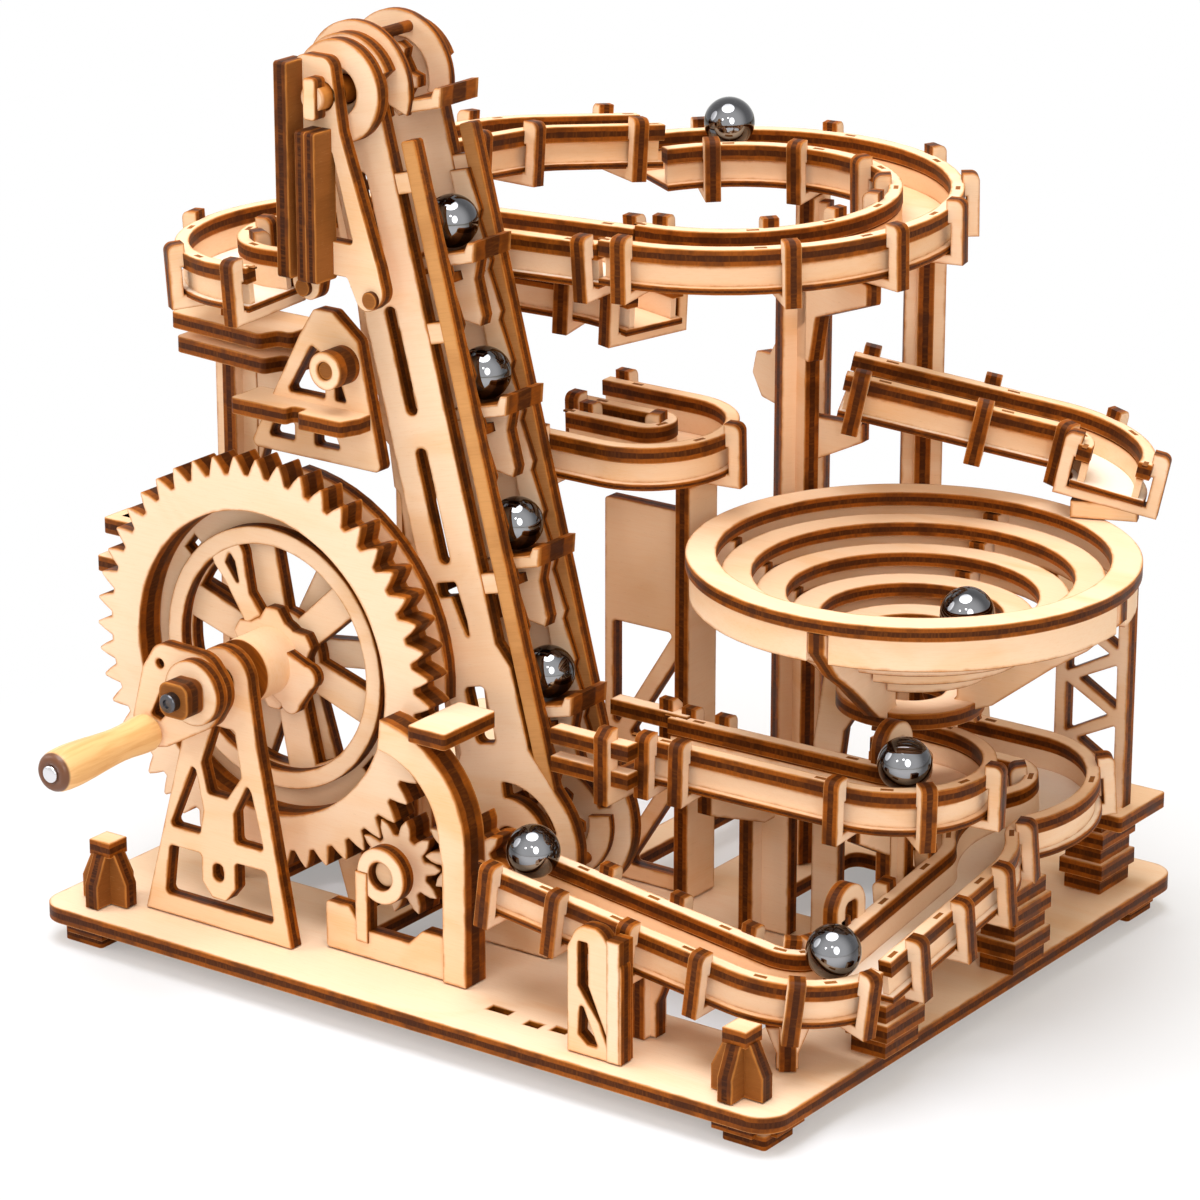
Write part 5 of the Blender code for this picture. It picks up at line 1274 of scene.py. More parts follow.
def rungs(heights, side):
    """Pins that join the two strands, at the given heights up the lift."""
    x = side * CHAIN_R
    return [board([box(x - 1.2, height - 1.1, x + 1.2, height + 1.1)], RUNG_LONG, lift_frame(LIFT_MID))
            for height in heights]


def shelf(height, inner):
    """A carrier's hooked shelf from its inner end outwards, across the two strands."""
    outline = [(inner, 0), (21.5, 0), (23.0, 4.4), (21.0, 4.6), (19.6, 2.8), (inner, 2.8)]
    outline = [(out, height - SHELF_DROP + up) for out, up in outline]
    return board([outline], STRAND_BACK - STRAND_FRONT - LINK_PLY * 0.4, lift_frame(LIFT_MID))


def carrier(height):
    """A hooked shelf on a hanging stem."""
    stem = [(9.5, 0.5), (19.0, 0.5), (16.6, -4.5), (16.6, -13.5), (15.4, -15.6), (9.0, -13.0)]
    stem = [(out, height - SHELF_DROP + up) for out, up in stem]
    return [shelf(height, 5.6), board([stem], PLY, lift_frame(LIFT_MID))]


def carrier_heights():
    return [(FIRST_CARRIER + CARRIER_EVERY * i) * LINK_PITCH for i in range(4)]


def chain_carrying_run():
    """The side of the chain that slides up with its carriers."""
    boards = [strand(STRAND_FRONT, CARRY_FROM, CARRY_TO, 1), strand(STRAND_BACK, CARRY_FROM, CARRY_TO, 1)]
    boards += rungs([height - 6.5 for height in carrier_heights()], 1)
    for height in carrier_heights():
        boards += carrier(height)
    piece("chain_carrying_run", boards)


def chain_return_run():
    """The side that comes back down and the turns round both shafts, which stay put."""
    outer, inner = CHAIN_R + LINK_WIDE / 2, CHAIN_R - LINK_WIDE / 2
    low = arc(0, 0, outer, 168, 358) + arc(0, 0, inner, 358, 168)
    top = arc(0, LIFT_LONG, outer, -35, 192) + arc(0, LIFT_LONG, inner, 192, -35)
    boards = []
    for y in (STRAND_FRONT, STRAND_BACK):
        boards.append(strand(y, 0, LINK_PITCHES, -1))
        boards += [board([turn], LINK_PLY, lift_frame(y)) for turn in (low, top)]
    boards += rungs([LINK_PITCH * i for i in range(1, LINK_PITCHES, 2)], -1)
    for degrees in (60, 120):
        out, rise = polar(CHAIN_R, degrees)
        for height in (-rise, LIFT_LONG + rise):
            boards.append(board([circle(out, height, 1.4)], RUNG_LONG, lift_frame(LIFT_MID)))
    boards.append(shelf((FIRST_CARRIER + CARRIER_EVERY * 4) * LINK_PITCH, SPROCKET_REACH - 0.6))
    piece("chain_return_run", boards)


def ball(name, centre):
    steps = 40
    turns = [math.pi * i / steps for i in range(steps + 1)]
    profile = [(BALL_R * math.sin(turn), -BALL_R * math.cos(turn)) for turn in turns]
    piece(name, [turned(profile, Matrix.Translation(centre), 64, STEEL)], STEEL, smooth=True)


# Stands

def crank_stand():
    """The A shaped board in which the axle turns, with its windows."""
    low = BASE_SEAT
    left, right = -84.0, -38.5
    middle = (left + right) / 2 + 0.5
    edge = [(left, low), (right, low), (CRANK_X + 10.2, 60), *arc(CRANK_X, CRANK_Z, 8.2, 0, 180),
            (CRANK_X - 12.2, 60)]
    tab = [(middle + 5.2, 28.5), (middle + 5.2, 21.5), (middle + 2.2, 17.8), (middle - 2.2, 17.8),
           (middle - 5.2, 21.5), (middle - 5.2, 28.5)]
    holes = [
        circle(CRANK_X, CRANK_Z, AXLE_R + FIT),
        rounded([(CRANK_X - 3.2, 62.5), (CRANK_X + 3.4, 62.5), (CRANK_X + 5.2, 51), (middle + 3.4, 44.5),
                 (middle - 2.6, 44.5), (CRANK_X - 7.2, 52)], 1.0),
        rounded([(middle - 4.2, 40), (middle - 5.4, 33.5), (middle - 15.0, 33.5), (CRANK_X - 10.2, 50.5),
                 (CRANK_X - 9.0, 50)], 1.0),
        rounded([(middle + 5.2, 41), (CRANK_X + 7.0, 49.4), (CRANK_X + 8.2, 47.5), (middle + 14.4, 33.5),
                 (middle + 5.4, 33.5)], 1.0),
        rounded([(middle - 17.0, 15.4), (middle + 17.0, 15.4), (middle + 15.0, 28.5), *tab,
                 (middle - 15.2, 28.5)], 1.2),
        slot(middle, 22.5, middle, 27.0, 3.4),
    ]
    piece("crank_stand", [board([edge, *holes], PLY, facing_front(STAND_Y))])


def arch_stand():
    """The arched leg in front of the gear's right side, its cap, its sill and the idler's bearing."""
    y = GEAR_Y - PLY * 2 - 0.4
    low = BASE_SEAT
    left, right = 2.8, 9.5
    x, z, radius = right - 27.5, 44.8, 27.5
    leg = [*arc(x, z, radius, 84, 2), (right, 42), (right, low), (left, low), (left, 40),
           *arc(x, z, radius - 7.6, 2, 84)]
    tip_x = CRANK_X + GEAR_R + MODULE + 0.5
    cap = board([box(tip_x, y - 5, tip_x + 11, y + 15, 1.0)], PLY, lying(71.0))
    notched = rounded([(-33, low), (left + 1, low), (left + 1, low + 11), (-4, low + 11), (-8, low + 7),
                       (-22, low + 7), (-26, low + 12), (-33, low + 12)], 1.0)
    sill = board([notched], PLY, facing_front(y - 1))
    hanger = board([bar(IDLER_X - 5.6, low + 4, IDLER_X - 5.6, IDLER_Z, 3.6)], PLY, facing_front(y - 1.6))
    arched = board([leg], PLY * 2, facing_front(y))
    bearing = board([circle(IDLER_X, IDLER_Z, 7.0), circle(IDLER_X, IDLER_Z, AXLE_R + FIT)], PLY,
                    facing_front(y - 1.2))
    piece("arch_stand", [arched, cap, sill, bearing, hanger])


def rear_stand():
    """The legs behind the gear with the curved guard, and the small shelves at the far left."""
    y, low = FRAME_Y, BASE_SEAT
    guard = arc(CRANK_X, CRANK_Z, 46.5, -4, 86) + arc(CRANK_X, CRANK_Z, 38.0, 86, -4)
    hub = [circle(CRANK_X, CRANK_Z, HUB_R + 1.5), circle(CRANK_X, CRANK_Z, AXLE_R + FIT)]
    boards = [board([guard], PLY, facing_front(y)), board(hub, PLY - 0.2, facing_front(y))]
    for degrees in (8, 62):
        (x0, z0), (x1, z1) = polar(8, degrees), polar(40, degrees)
        spoke = bar(CRANK_X + x0, CRANK_Z + z0, CRANK_X + x1, CRANK_Z + z1, 7)
        boards.append(board([spoke], PLY - 0.4, facing_front(y)))
    for foot in (-84.0, -38.0):
        leg = bar(foot, low + 1.7, CRANK_X + (foot - CRANK_X) * 0.12, CRANK_Z - 6, 8)
        boards.append(board([leg], PLY - 0.6, facing_front(y)))
    boards.append(board([bar(CRANK_X - 6, CRANK_Z + 2, -106, 89, 7)], PLY - 0.6, facing_front(y)))
    side = [(-112, 76), (-106, 76), (-104, 80), (-104, 98), (-112, 98)]
    boards.append(board([side], PLY, facing_front(y + 0.4)))
    boards.append(board([box(-117, y - 5.6, -101, y + 4, 1)], PLY, lying(86)))
    boards.append(board([box(-115, y - 5.0, -100, y + 5, 1)], PLY, lying(96)))
    piece("rear_stand", boards)


def tower_frame():
    """The frame at the left of the lift, with its shelf and the ring round a dark peg."""
    y = FRAME_Y
    edge = [(-70, 124), (-30, 124), (-36.5, 155), (-44.0, 161), (-49.5, 161), (-54, 154)]
    holes = [rounded([(-50.5, 152), (-58, 139.5), (-46.5, 139.5), (-46.5, 150)], 0.8),
             rounded([(-43.5, 148), (-43.5, 139.5), (-40, 139.5)], 0.6),
             rounded([(-62, 132), (-56, 132), (-56, 127.5), (-64, 127.5)], 0.8),
             rounded([(-50, 132), (-44, 132), (-42, 127.5), (-50, 127.5)], 0.8)]
    deck = rounded([(-69, y - 10), (-52, y - 10), (-52, y - 7), (-48, y - 7), (-48, y - 11), (-35, y - 11),
                    (-33, y - 6), (-33, y + 1.5), (-69, y + 1.5)], 1.2)
    boards = [board([rounded(edge, 1.6), *holes], PLY, facing_front(y)),
              board([deck], PLY, lying(136.0)),
              board([circle(-40.5, 149, 4.6), circle(-40.5, 149, 2.2)], 9, facing_front(y - 5)),
              board([circle(-40.5, 149, 2.1)], 8.4, facing_front(y - 4.8), DARK_BIRCH)]
    piece("tower_frame", boards)


def upper_shaft_leg():
    """The openwork leg that hangs from the upper shaft, with three bars edge-on and two dark pegs."""
    x, z = UPPER_SHAFT.x, UPPER_SHAFT.z
    y = FRAME_Y - PLY - FIT
    edge = [(x - 8, z + 9, 3), (x + 2.5, z + 9, 3), (x + 5.0, z - 8, 1), (x + 15.6, z - 39, 1),
            (x + 17.4, z - 46, 4), (x + 10.8, z - 51, 4), (x + 6.4, z - 42, 1), (x - 1.0, z - 42, 1),
            (x - 2.6, z - 50, 4), (x - 10, z - 48, 4), (x - 8.4, z - 20, 1)]
    holes = [circle(x, z, AXLE_R + FIT),
             rounded([(x - 3, z - 16), (x + 2.4, z - 12), (x + 8.5, z - 34), (x - 3, z - 34)], 1)]
    long_bar = box(y - 8, z - 43, y, z + 8, 0.8)
    short_bar = box(y - 8.6, z - 43, y - 0.6, z - 7.4, 0.8)
    boards = [board([rounded(edge, 0), *holes], PLY, facing_front(y)),
              board([long_bar], 3.8, upright(x - 7.5, 0, 0, 90), DARK_BIRCH),
              board([short_bar], 2.8, upright(x - 1.6, 0, 0, 90), DARK_BIRCH),
              board([short_bar], 2.8, upright(x + 1.2, 0, 0, 90), DARK_BIRCH)]
    for peg_x in (x + 13.8, x - 6.0):
        peg = circle(peg_x, z - 46.2, 2.1)
        boards.append(board([peg], 1.4, facing_front(y - PLY / 2 - 0.6), DARK_BIRCH))
    piece("upper_shaft_leg", boards)


def loop_posts():
    """The shelf and the posts that carry the left loop."""
    low = BASE_SEAT
    x, y, high = TRACKS["left_loop"].under(112)
    shelf_z = high - PLY / 2 - 9
    deck = rounded([(x - 14, y - 8), (x + 16, y - 11), (x + 18, y - 6), (x + 22, y - 6), (x + 22, y + 8),
                    (x - 14, y + 8)], 1.6)
    lower_deck = [(px * 0.999 + 0.6, py + 0.9) for px, py in deck]
    brace = rounded([(3, 92), (15, 128), (15, 134), (3, 134)], 1)
    boards = [board([deck], PLY, lying(shelf_z)),
              board([lower_deck], PLY, lying(shelf_z - PLY - 2.2)),
              board([box(-3.5, 0, 3.5, high - low)], PLY, upright(x, y, low, 90)),
              board([box(-6.5, 0, 6.5, shelf_z - low)], PLY, upright(x, y + 1.4, low, 0)),
              board([brace], PLY - 0.5, upright(x, y + 1.4, low, 0))]
    piece("loop_post_front", boards)
    x, y, high = TRACKS["left_loop"].under(62)
    boards = [board([box(-3.5, 0, 3.5, high - low)], PLY, upright(x, y, low, 90)),
              board([box(-5, 0, 5, high - low - 3)], PLY - 0.4, upright(x, y, low, 0))]
    piece("loop_post_back", boards)


# Funnel

def rib_angles():
    return [-82.0 + 90.0 * i for i in range(4)]


def funnel_rings():
    """Five flat rings, one below the other, each on four bent strips between the ribs."""
    for i, radius in enumerate(FUNNEL_RADII):
        top = FUNNEL_Z - RING_STEP * i
        ring = [circle(FUNNEL_X, FUNNEL_Y, radius), circle(FUNNEL_X, FUNNEL_Y, radius - RING_WIDE)]
        boards = [board(ring, RING_PLY, lying(top - RING_PLY / 2))]
        drop = 8.0 if i == 0 else 5.2
        out = radius - 1.0
        spare = math.degrees((PLY / 2 + 0.7) / out)
        for angle in rib_angles():
            first, last = angle + spare, angle + 90 - spare
            strip = arc(FUNNEL_X, FUNNEL_Y, out, first, last)
            strip += arc(FUNNEL_X, FUNNEL_Y, out - THIN_PLY, last, first)
            boards.append(board([strip], drop, lying(top - RING_PLY - drop / 2 + OVERLAP), bent=True))
        piece(f"funnel_ring_{i + 1}", boards)


def rib_outline(has_leg):
    """A stepped rib under the rings; two of the four reach down to the base."""
    low = BASE_SEAT
    outer = FUNNEL_RADII[0] - 0.4
    inner = FUNNEL_RADII[-1] - RING_WIDE - 0.6
    seats = [FUNNEL_Z - RING_STEP * i - RING_PLY - FIT for i in range(len(FUNNEL_RADII))]
    outline = [(outer, seats[0])]
    for radius, seat in zip(FUNNEL_RADII[1:], seats[1:]):
        outline += [(radius + 0.4, seat + RING_STEP), (radius + 0.4, seat)]
    outline += [(inner, seats[-1]), (inner, FUNNEL_FOOT - 8), (inner - 2.6, FUNNEL_FOOT - 12)]
    if has_leg:
        outline += [(16, FUNNEL_FOOT - 22), (17, FUNNEL_FOOT - 30), (17, low), (24, low),
                    (24, FUNNEL_FOOT - 26)]
    else:
        outline += [(inner - 1, FUNNEL_FOOT - 14), (inner + 5, FUNNEL_FOOT - 14),
                    (inner + 4, FUNNEL_FOOT - 11)]
    return outline + [(inner + 9, FUNNEL_FOOT - 9), (FUNNEL_RADII[2], FUNNEL_Z - RING_STEP * 3 - 7.0),
                      (FUNNEL_RADII[1], FUNNEL_Z - RING_STEP * 2 - 6.5), (outer, FUNNEL_Z - RING_PLY - 5.0)]


def funnel_frame():
    boards = []
    for index, angle in enumerate(rib_angles()):
        boards.append(board([rib_outline(index in (2, 3))], PLY, upright(FUNNEL_X, FUNNEL_Y, 0, angle)))
    collar = [circle(FUNNEL_X, FUNNEL_Y, 17.5), circle(FUNNEL_X, FUNNEL_Y, 8.2)]
    boards.append(board(collar, PLY, lying(FUNNEL_FOOT - 11)))
    piece("funnel_frame", boards)


# Posts and brackets

def cross_post(name, x, y, high, wide, heading, extra=()):
    """Two crossed boards from the base up to a track, with what is fixed to them."""
    low = BASE_SEAT
    half, inner = wide / 2, wide / 2 - 0.6
    boards = [board([box(-half, 0, half, high - low)], PLY, upright(x, y, low, heading)),
              board([box(-inner, 0, inner, high - low - 1.5)], PLY, upright(x, y, low, heading + 90))]
    piece(name, [*boards, *extra])


def heading_at(track, distance):
    return math.degrees(at(track.points, distance)[2])


def from_main_post(x, y):
    """How far a place is from the main post, and in which direction."""
    away_x, away_y = x - MAIN_POST[0], y - MAIN_POST[1]
    return math.hypot(away_x, away_y), math.degrees(math.atan2(away_y, away_x))


def main_post():
    """The post in the middle, its arm under the ring, the roller's bracket and the long track's ledge."""
    x, y, high = TRACKS["upper_ring"].under(MAIN_CLIP)
    reach, heading = from_main_post(x, y)
    arm = board([rounded([(-8, high - 26), (8, high - 26), (11, high - 14), (reach + 4, high - 5),
                          (reach + 4, high), (-8, high)], 1)], PLY, upright(*MAIN_POST, 0, heading))
    roller = board([rounded([(-6, 126), (-16, 126), (-21, 131), (-19, 137), (-12, 138), (-8, 143),
                             (-6, 143)], 1)], PLY, upright(*MAIN_POST, 0, heading))
    x, y, seat = TRACKS["long"].under(4)
    away, ledge_heading = from_main_post(x, y)
    edge = [(0, seat - 14), (away + 3, seat - 5), (away + 3, seat - 0.5), (0, seat - 0.5)]
    ledge = board([edge], PLY - 0.4, upright(*MAIN_POST, 0, ledge_heading))
    cross_post("main_post", *MAIN_POST, high - 8, 13, heading, [arm, roller, ledge])


def back_post(name, distance):
    """A post under the ring at one of its clips."""
    ring = TRACKS["upper_ring"]
    cross_post(name, *ring.under(distance), 10, heading_at(ring, distance) + 90)


def u_turn_column():
    """The truss beside the post that carries the U-turn."""
    low = BASE_SEAT
    x, y, high = TRACKS["u_turn"].under(45)
    truss = [box(-13.5, 0, 13.5, high - low - 8, 1)]
    cell = 34.0
    for i in range(3):
        bottom, top = 4 + i * cell, 4 + (i + 1) * cell
        if top < high - low - 10:
            truss.append(rounded([(-11, bottom), (-11, top - 5), (7, top - 5)], 1))
            truss.append(rounded([(-6.5, bottom), (10.6, bottom), (10.6, top - 7)], 1))
    boards = [board(truss, PLY, upright(x - 12, y, low, 0)),
              board([box(-6, 0, 6, high - low)], PLY, upright(x, y, low, 90))]
    piece("u_turn_column", boards)


def leg_boards(track, distance, wide=9.0):
    """Two crossed boards that stand under a clip and join it."""
    x, y, high = track.under(distance)
    heading = heading_at(track, distance) + 90
    low, half = BASE_SEAT, wide / 2
    top = high - low + FIT + OVERLAP
    flared = [(1 - half, 0), (half - 1, 0), (half - 1, top - 8), (half + 1.5, top - 1.6),
              (-half - 1.5, top - 1.6), (1 - half, top - 8)]
    return [board([box(-half, 0, half, top)], PLY, upright(x, y, low, heading)),
            board([flared], PLY, upright(x, y, low, heading + 90))]


def pile(x, y, top, count, half):
    """Boards stacked on the base up to a height, every second one a little larger."""
    thick = (top - BASE_SEAT) / count
    boards = []
    for i in range(count):
        grow, spare = (1.0, 0.02) if i % 2 else (0.0, 0.0)
        shape = box(-half - grow, -7 - grow, half + grow, 7 + grow)
        boards.append(board([shape], thick + spare, lying(BASE_SEAT + thick * (i + 0.5), x, y)))
    return boards


def clip_pile(track, distance, shift):
    """A pile of boards under a clip, moved towards the outer side of the track."""
    x, y, angle = at(track.points, distance)
    top = track.under(distance)[2] + FIT + OVERLAP
    count = max(1, round((top - BASE_SEAT) / PLY))
    return pile(x + shift * math.sin(angle), y - shift * math.cos(angle), top, count, 4.6)


def lift_entry():
    """The straight rails that lead from the loop track past the carriers, and the yoke that holds them."""
    track = TRACKS["loop"]
    z = track.point(length(track.points) - 4).z
    start, end = LIFT_X + 12.6, track.points[-1][0] + 4.0
    boards = []
    for side, drops in ((LIFT_FRONT - 0.5, (0.0, 7.0)), (LIFT_BACK + 1.5, (0.0,))):
        for drop in drops:
            rail = box(start, side - 2, end, side + 2)
            boards.append(board([rail], PLY, lying(z - PLY / 2 - drop + 0.6)))
    middle = (LIFT_FRONT + LIFT_BACK + 1.0) / 2
    half = (LIFT_BACK - LIFT_FRONT + 2.0) / 2 + 3.4
    yoke = [(-half, -15), (half, -15), (half, 1.6), (half - 2, 3.4), (half - 4.4, 3.4), (half - 4.4, -9),
            (4.4 - half, -9), (4.4 - half, 3.4), (2 - half, 3.4), (-half, 1.6)]
    boards.append(board([yoke], PLY, upright(end - 6.8, middle, z, 90)))
    return boards


def front_bracket():
    """The upright with two windows at the front of the base, and the strip that stands behind its edge."""
    low = BASE_SEAT
    edge = [(49, low), (64, low), (64, 34, 2), (58, 42, 4), (52, 42, 4), (49, 36, 2)]
    holes = [rounded([(52, 15), (54.5, 13), (57.6, 13), (52.6, 24)], 0.6),
             rounded([(52, 27), (52, 38), (54.8, 38), (54.8, 27.6), (60.5, 15), (60.5, 13), (58, 19)], 0.5)]
    piece("front_bracket", [board([rounded(edge, 0), *holes], PLY, facing_front(-84.2)),
                            board([box(60, low, 63.6, 40)], 5.6, facing_front(-83.6))])


def lattice_tower():
    """The lattice at the back right corner, on its stacked platform, which carries the funnel's rim."""
    x, y = 96.0, 67.0
    low = BASE_SEAT
    top = FUNNEL_Z - RING_PLY - 8.4
    step = 32.0
    holes = []
    cells = 4
    cell = (top - step - 4) / cells
    for i in range(cells):
        z = step - low + 3 + i * cell
        holes.append(rounded([(-7, z), (5.0, z + cell / 2 - 1.2), (-7, z + cell - 2.6)], 0.4))
        if i < cells - 1:
            between = rounded([(7, z + cell / 2 + 0.6), (7, z + cell * 1.5 - 3.6),
                               (-3.6, z + cell - 1.2)], 0.4)
        else:
            between = box(4.8, z + cell * 0.62, 7, z + cell - 2)
        holes.append(between)
    edge = [(-10, step - low), (10, step - low), (10, top - low), (-10, top - low)]
    boards = [board([edge, *holes], PLY, upright(x, y, low, 0)),
              board([box(-13, -10, 13, 12, 1)], PLY, lying(step, x, y + 2))]
    boards += pile(x, y + 4, step - PLY / 2 + OVERLAP, 5, 5)
    arm = [(-11, 0), (2, 0), (2, 14), (-14.5, 14), (-14.5, 9)]
    arm = [(px, pz + top - 14 - low) for px, pz in arm]
    boards.append(board([arm], PLY, upright(x - 5, y, low, 90)))
    piece("lattice_tower", boards)


def balls():
    """Four on the carriers, four on the tracks and one against a ring of the funnel."""
    for index, height in enumerate(carrier_heights()):
        centre = lift_frame(LIFT_MID) @ Vector((CHAIN_R, height - 0.6 + FIT + BALL_R, 0))
        ball(f"lift_ball_{index + 1}", centre)
    for name, track, distance in (("ring_ball", "upper_ring", 20.0), ("loop_ball", "loop", 46.0),
                                  ("corner_ball", "front", 6.0), ("front_ball", "front", 87.0)):
        ball(name, TRACKS[track].point(distance, BALL_SINK))
    rise = BALL_R + FIT
    gap = rise - RING_STEP
    x, y = polar(FUNNEL_RADII[2] - RING_WIDE - math.sqrt(rise ** 2 - gap ** 2), -25)
    ball("funnel_ball", Vector((FUNNEL_X + x, FUNNEL_Y + y, FUNNEL_Z - RING_STEP * 3 + rise)))


def arch(x, y, z):
    """A round topped bracket that stands beside or across the inner rail of a bend."""
    edge = [(-6, -PLY + 0.6), (6, -PLY + 0.6)] + arc(0, 3.4, 6, 0, 180)
    return [board([edge, box(-2.4, -1, 2.4, 5.5, 1.5)], PLY, facing_side(x, y, z))]


def loop_supports(track):
    """The far post with its arm, the near post under the bend, and the arch on the inner rail."""
    x, y, high = track.under(98)
    low, top = BASE_SEAT, high + FIT + OVERLAP
    arm = [(1, top - 16), (1, top), (y + 1, top), (y + 1, top - 7), (-6, top - 16)]
    boards = [board([box(x - 6, low, x + 6, top - 2)], PLY, facing_front(0)),
              board([box(-6, low, 4.5, top - 3)], PLY, facing_side(x - 3.6)),
              board([arm], PLY, facing_side(x))]
    x, y, high = track.under(57)
    top = high + FIT + OVERLAP
    brace = [(y + 18, top - 14), (y + 18, top), (y - 1, top), (y - 1, top - 4), (y + 10, top - 10)]
    boards += [board([box(x - 4, low, x + 4, top - 1)], PLY, facing_front(y + 17)),
               board([box(y + 12, low, y + 22, top - 2)], PLY, facing_side(x)),
               board([brace], PLY - 0.4, facing_side(x))]
    return boards + lift_entry() + arch(LOOP_END_X + 1, LOOP_END_Y - 2, track.point(33)[2])


def side_supports(track):
    end = length(track.points)
    x, y, z = track.point(end - 11)
    return clip_pile(track, 74, -8) + clip_pile(track, end - 9, -3) + arch(x - TRACK_HALF - 1.4, y, z)


def front_supports(track):
    return leg_boards(track, 52) + leg_boards(track, 15, 7.0)


def rim_leg(track):
    """The leg under the last clip, down to the rim of the funnel."""
    distance = length(track.points) - 3
    x, y, high = track.under(distance)
    low = FUNNEL_Z + FIT
    return [board([box(-8, 0, 8, high + FIT + OVERLAP - low)], PLY - 0.4,
                  upright(x, y, low, heading_at(track, distance) + 90))]


SUPPORTS = {"long": rim_leg, "loop": loop_supports, "side": side_supports, "front": front_supports}

base_plate()
feet()
ornament("corner_ornament_left", -94, -80)
ornament("corner_ornament_right", 94, -82)
for track_name, track_made in TRACKS.items():
    track_supports = SUPPORTS[track_name](track_made) if track_name in SUPPORTS else ()
    build_track(track_name, track_made, track_supports)
crank_gear_rim()
crank_gear_wheel()
crank_axle()
crank_arm()
crank_handle()
idler_gear()
lower_lift_shaft()
upper_lift_shaft()
lift_plate(True)
lift_plate(False)
chain_carrying_run()
chain_return_run()
crank_stand()
arch_stand()
rear_stand()
tower_frame()
upper_shaft_leg()
loop_posts()
funnel_rings()
funnel_frame()
main_post()
back_post("back_post_left", 42)
back_post("back_post_right", 92)
u_turn_column()
front_bracket()
lattice_tower()
balls()

# Floor, lights and camera

FILL_COLOUR = (1.0, 0.84, 0.54)
FILL_STRENGTH = 0.52
FLOOR_COLOUR = (0.76, 0.79, 0.87)
FLOOR_SIDE = 6.0
GLOW_FROM, GLOW_TO = 0.12, 0.24
GLOW_LOW, GLOW_FULL = 0.30, 1.0
LAMPS_AIM = (0, 0, 0.1)
LENS = 143.68
CAMERA_TURN, CAMERA_RISE = math.radians(35.756), math.radians(19.044)
CAMERA_AWAY = 1.15998
CAMERA_AIM = Vector((-3.875, 0, 83.691)) * MM


def white_world():
    """A warm fill for the wood; the camera and the steel see plain white."""
    world = bpy.data.worlds.new("studio")
    bpy.context.scene.world = world
    world.use_nodes = True
    world.node_tree.nodes.clear()
    w = Wiring(world.node_tree)
    out = w.node("ShaderNodeOutputWorld")
    fill, white = w.node("ShaderNodeBackground"), w.node("ShaderNodeBackground")
    w.set(fill.inputs["Color"], FILL_COLOUR)
    w.set(fill.inputs["Strength"], FILL_STRENGTH)
    w.set(white.inputs["Color"], (1.0, 1.0, 1.0))
    w.set(white.inputs["Strength"], 1.0)
    seen = w.node("ShaderNodeLightPath")
    pick = w.node("ShaderNodeMixShader")
    w.set(pick.inputs[0], w.math("MAXIMUM", seen.outputs["Is Camera Ray"], seen.outputs["Is Glossy Ray"]))
    w.set(pick.inputs[1], fill.outputs[0])
    w.set(pick.inputs[2], white.outputs[0])
    w.set(out.inputs["Surface"], pick.outputs[0])


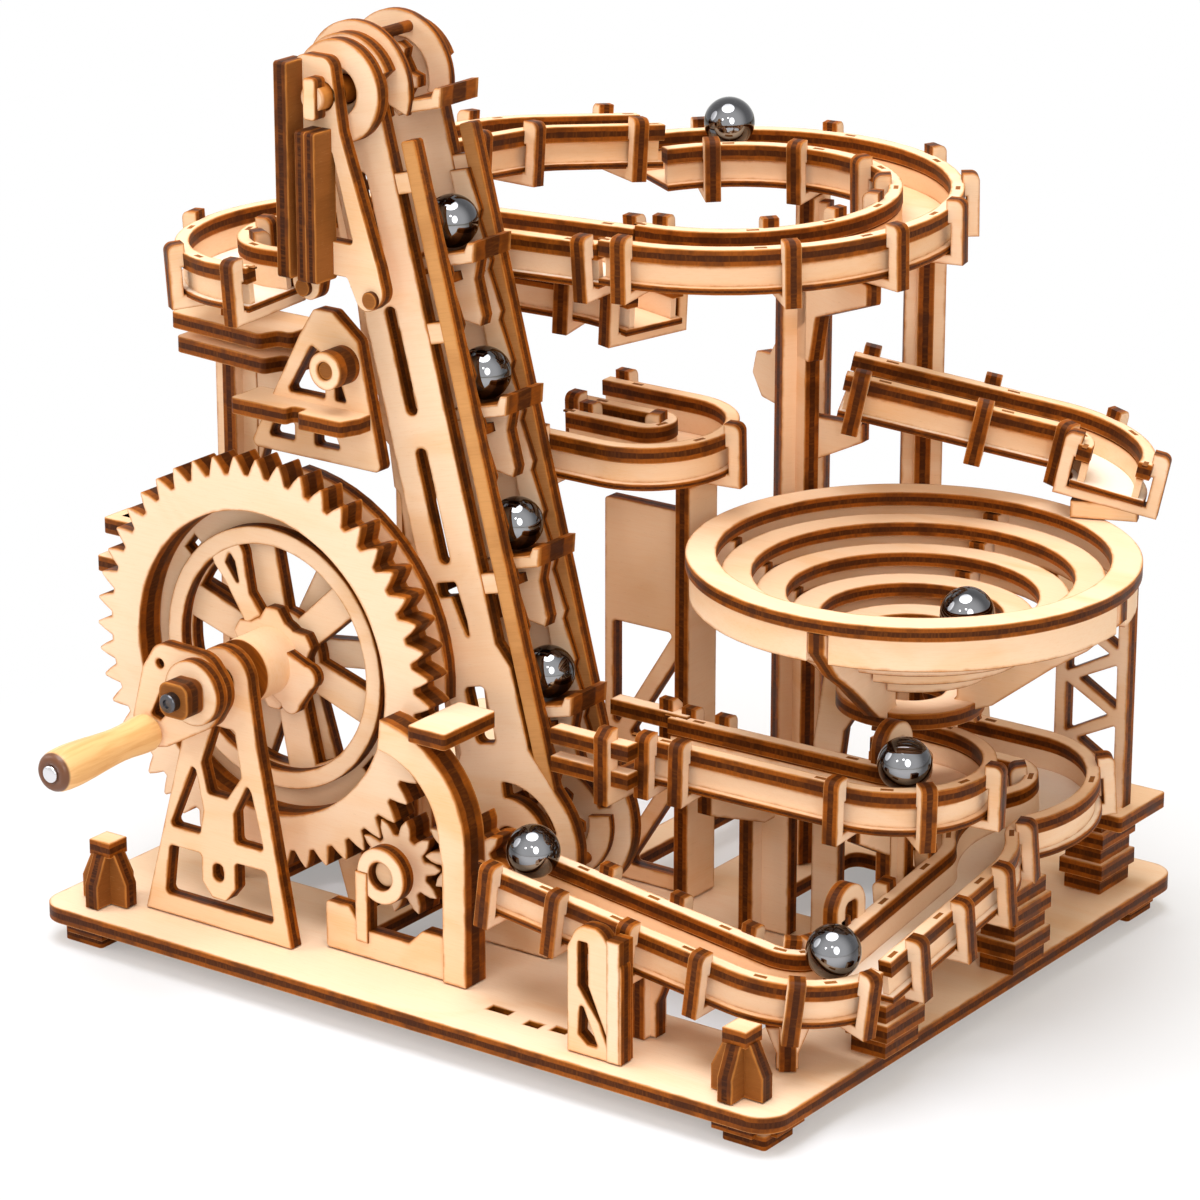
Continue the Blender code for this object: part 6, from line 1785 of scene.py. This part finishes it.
def pale_floor():
    """A matt floor that keeps the shadow and turns plain white to the camera away from the object."""
    look, w, shader = new_material("pale_floor")
    w.set(shader.inputs["Base Color"], FLOOR_COLOUR)
    w.set(shader.inputs["Roughness"], 0.9)
    w.set(shader.inputs["Specular IOR Level"], 0.1)
    from_middle = w.node("ShaderNodeVectorMath", operation="DISTANCE")
    w.set(from_middle.inputs[0], w.node("ShaderNodeNewGeometry").outputs["Position"])
    from_middle.inputs[1].default_value = SHIFT * MM
    seen = w.node("ShaderNodeLightPath").outputs["Is Camera Ray"]
    share = w.ramp(from_middle.outputs["Value"], GLOW_FROM, GLOW_TO, GLOW_LOW, GLOW_FULL)
    glow = w.node("ShaderNodeEmission")
    mixed = w.node("ShaderNodeMixShader")
    w.set(mixed.inputs[0], w.math("MULTIPLY", seen, share))
    w.set(mixed.inputs[1], shader.outputs[0])
    w.set(mixed.inputs[2], glow.outputs[0])
    w.set(w.tree.nodes["Material Output"].inputs["Surface"], mixed.outputs[0])
    return look


def lay_floor():
    mesh = bpy.data.meshes.new("floor")
    half = FLOOR_SIDE / 2
    corners = [(-half, -half, 0), (half, -half, 0), (half, half, 0), (-half, half, 0)]
    mesh.from_pydata(corners, [], [(0, 1, 2, 3)])
    mesh.materials.append(pale_floor())
    floor = bpy.data.objects.new("floor", mesh)
    bpy.context.scene.collection.objects.link(floor)


def lamp(name, place, size, power):
    """An oval area lamp that is aimed at the object."""
    data = bpy.data.lights.new(name, "AREA")
    data.shape = "ELLIPSE"
    data.size, data.size_y = size
    data.energy = power
    obj = bpy.data.objects.new(name, data)
    obj.location = place
    obj.rotation_euler = (Vector(LAMPS_AIM) - Vector(place)).to_track_quat("-Z", "Y").to_euler()
    bpy.context.scene.collection.objects.link(obj)


def camera():
    """The viewing angle of the photograph, fitted to the corners of the base."""
    flat = math.cos(CAMERA_RISE)
    back = Vector((math.sin(CAMERA_TURN) * flat, -math.cos(CAMERA_TURN) * flat, math.sin(CAMERA_RISE)))
    data = bpy.data.cameras.new("camera")
    data.lens = LENS
    data.sensor_width = 36
    data.clip_start, data.clip_end = 0.05, 20
    obj = bpy.data.objects.new("camera", data)
    obj.location = CAMERA_AIM + SHIFT * MM + back * CAMERA_AWAY
    obj.rotation_euler = (-back).to_track_quat("-Z", "Y").to_euler()
    bpy.context.scene.collection.objects.link(obj)
    bpy.context.scene.camera = obj


white_world()
lay_floor()
lamp("top_softbox", (0.0, -0.15, 1.3), (1.0, 1.0), 17.0)
lamp("left_softbox", (-1.1, -0.7, 0.75), (0.7, 0.9), 6.0)
lamp("right_softbox", (1.0, -0.9, 0.65), (0.6, 0.8), 5.0)
lamp("front_catch_light", (0.55, -1.0, 0.95), (0.16, 0.16), 0.9)
lamp("side_catch_light", (0.0, -1.15, 0.7), (0.12, 0.16), 0.7)
camera()
bpy.context.scene.view_settings.view_transform = "Standard"
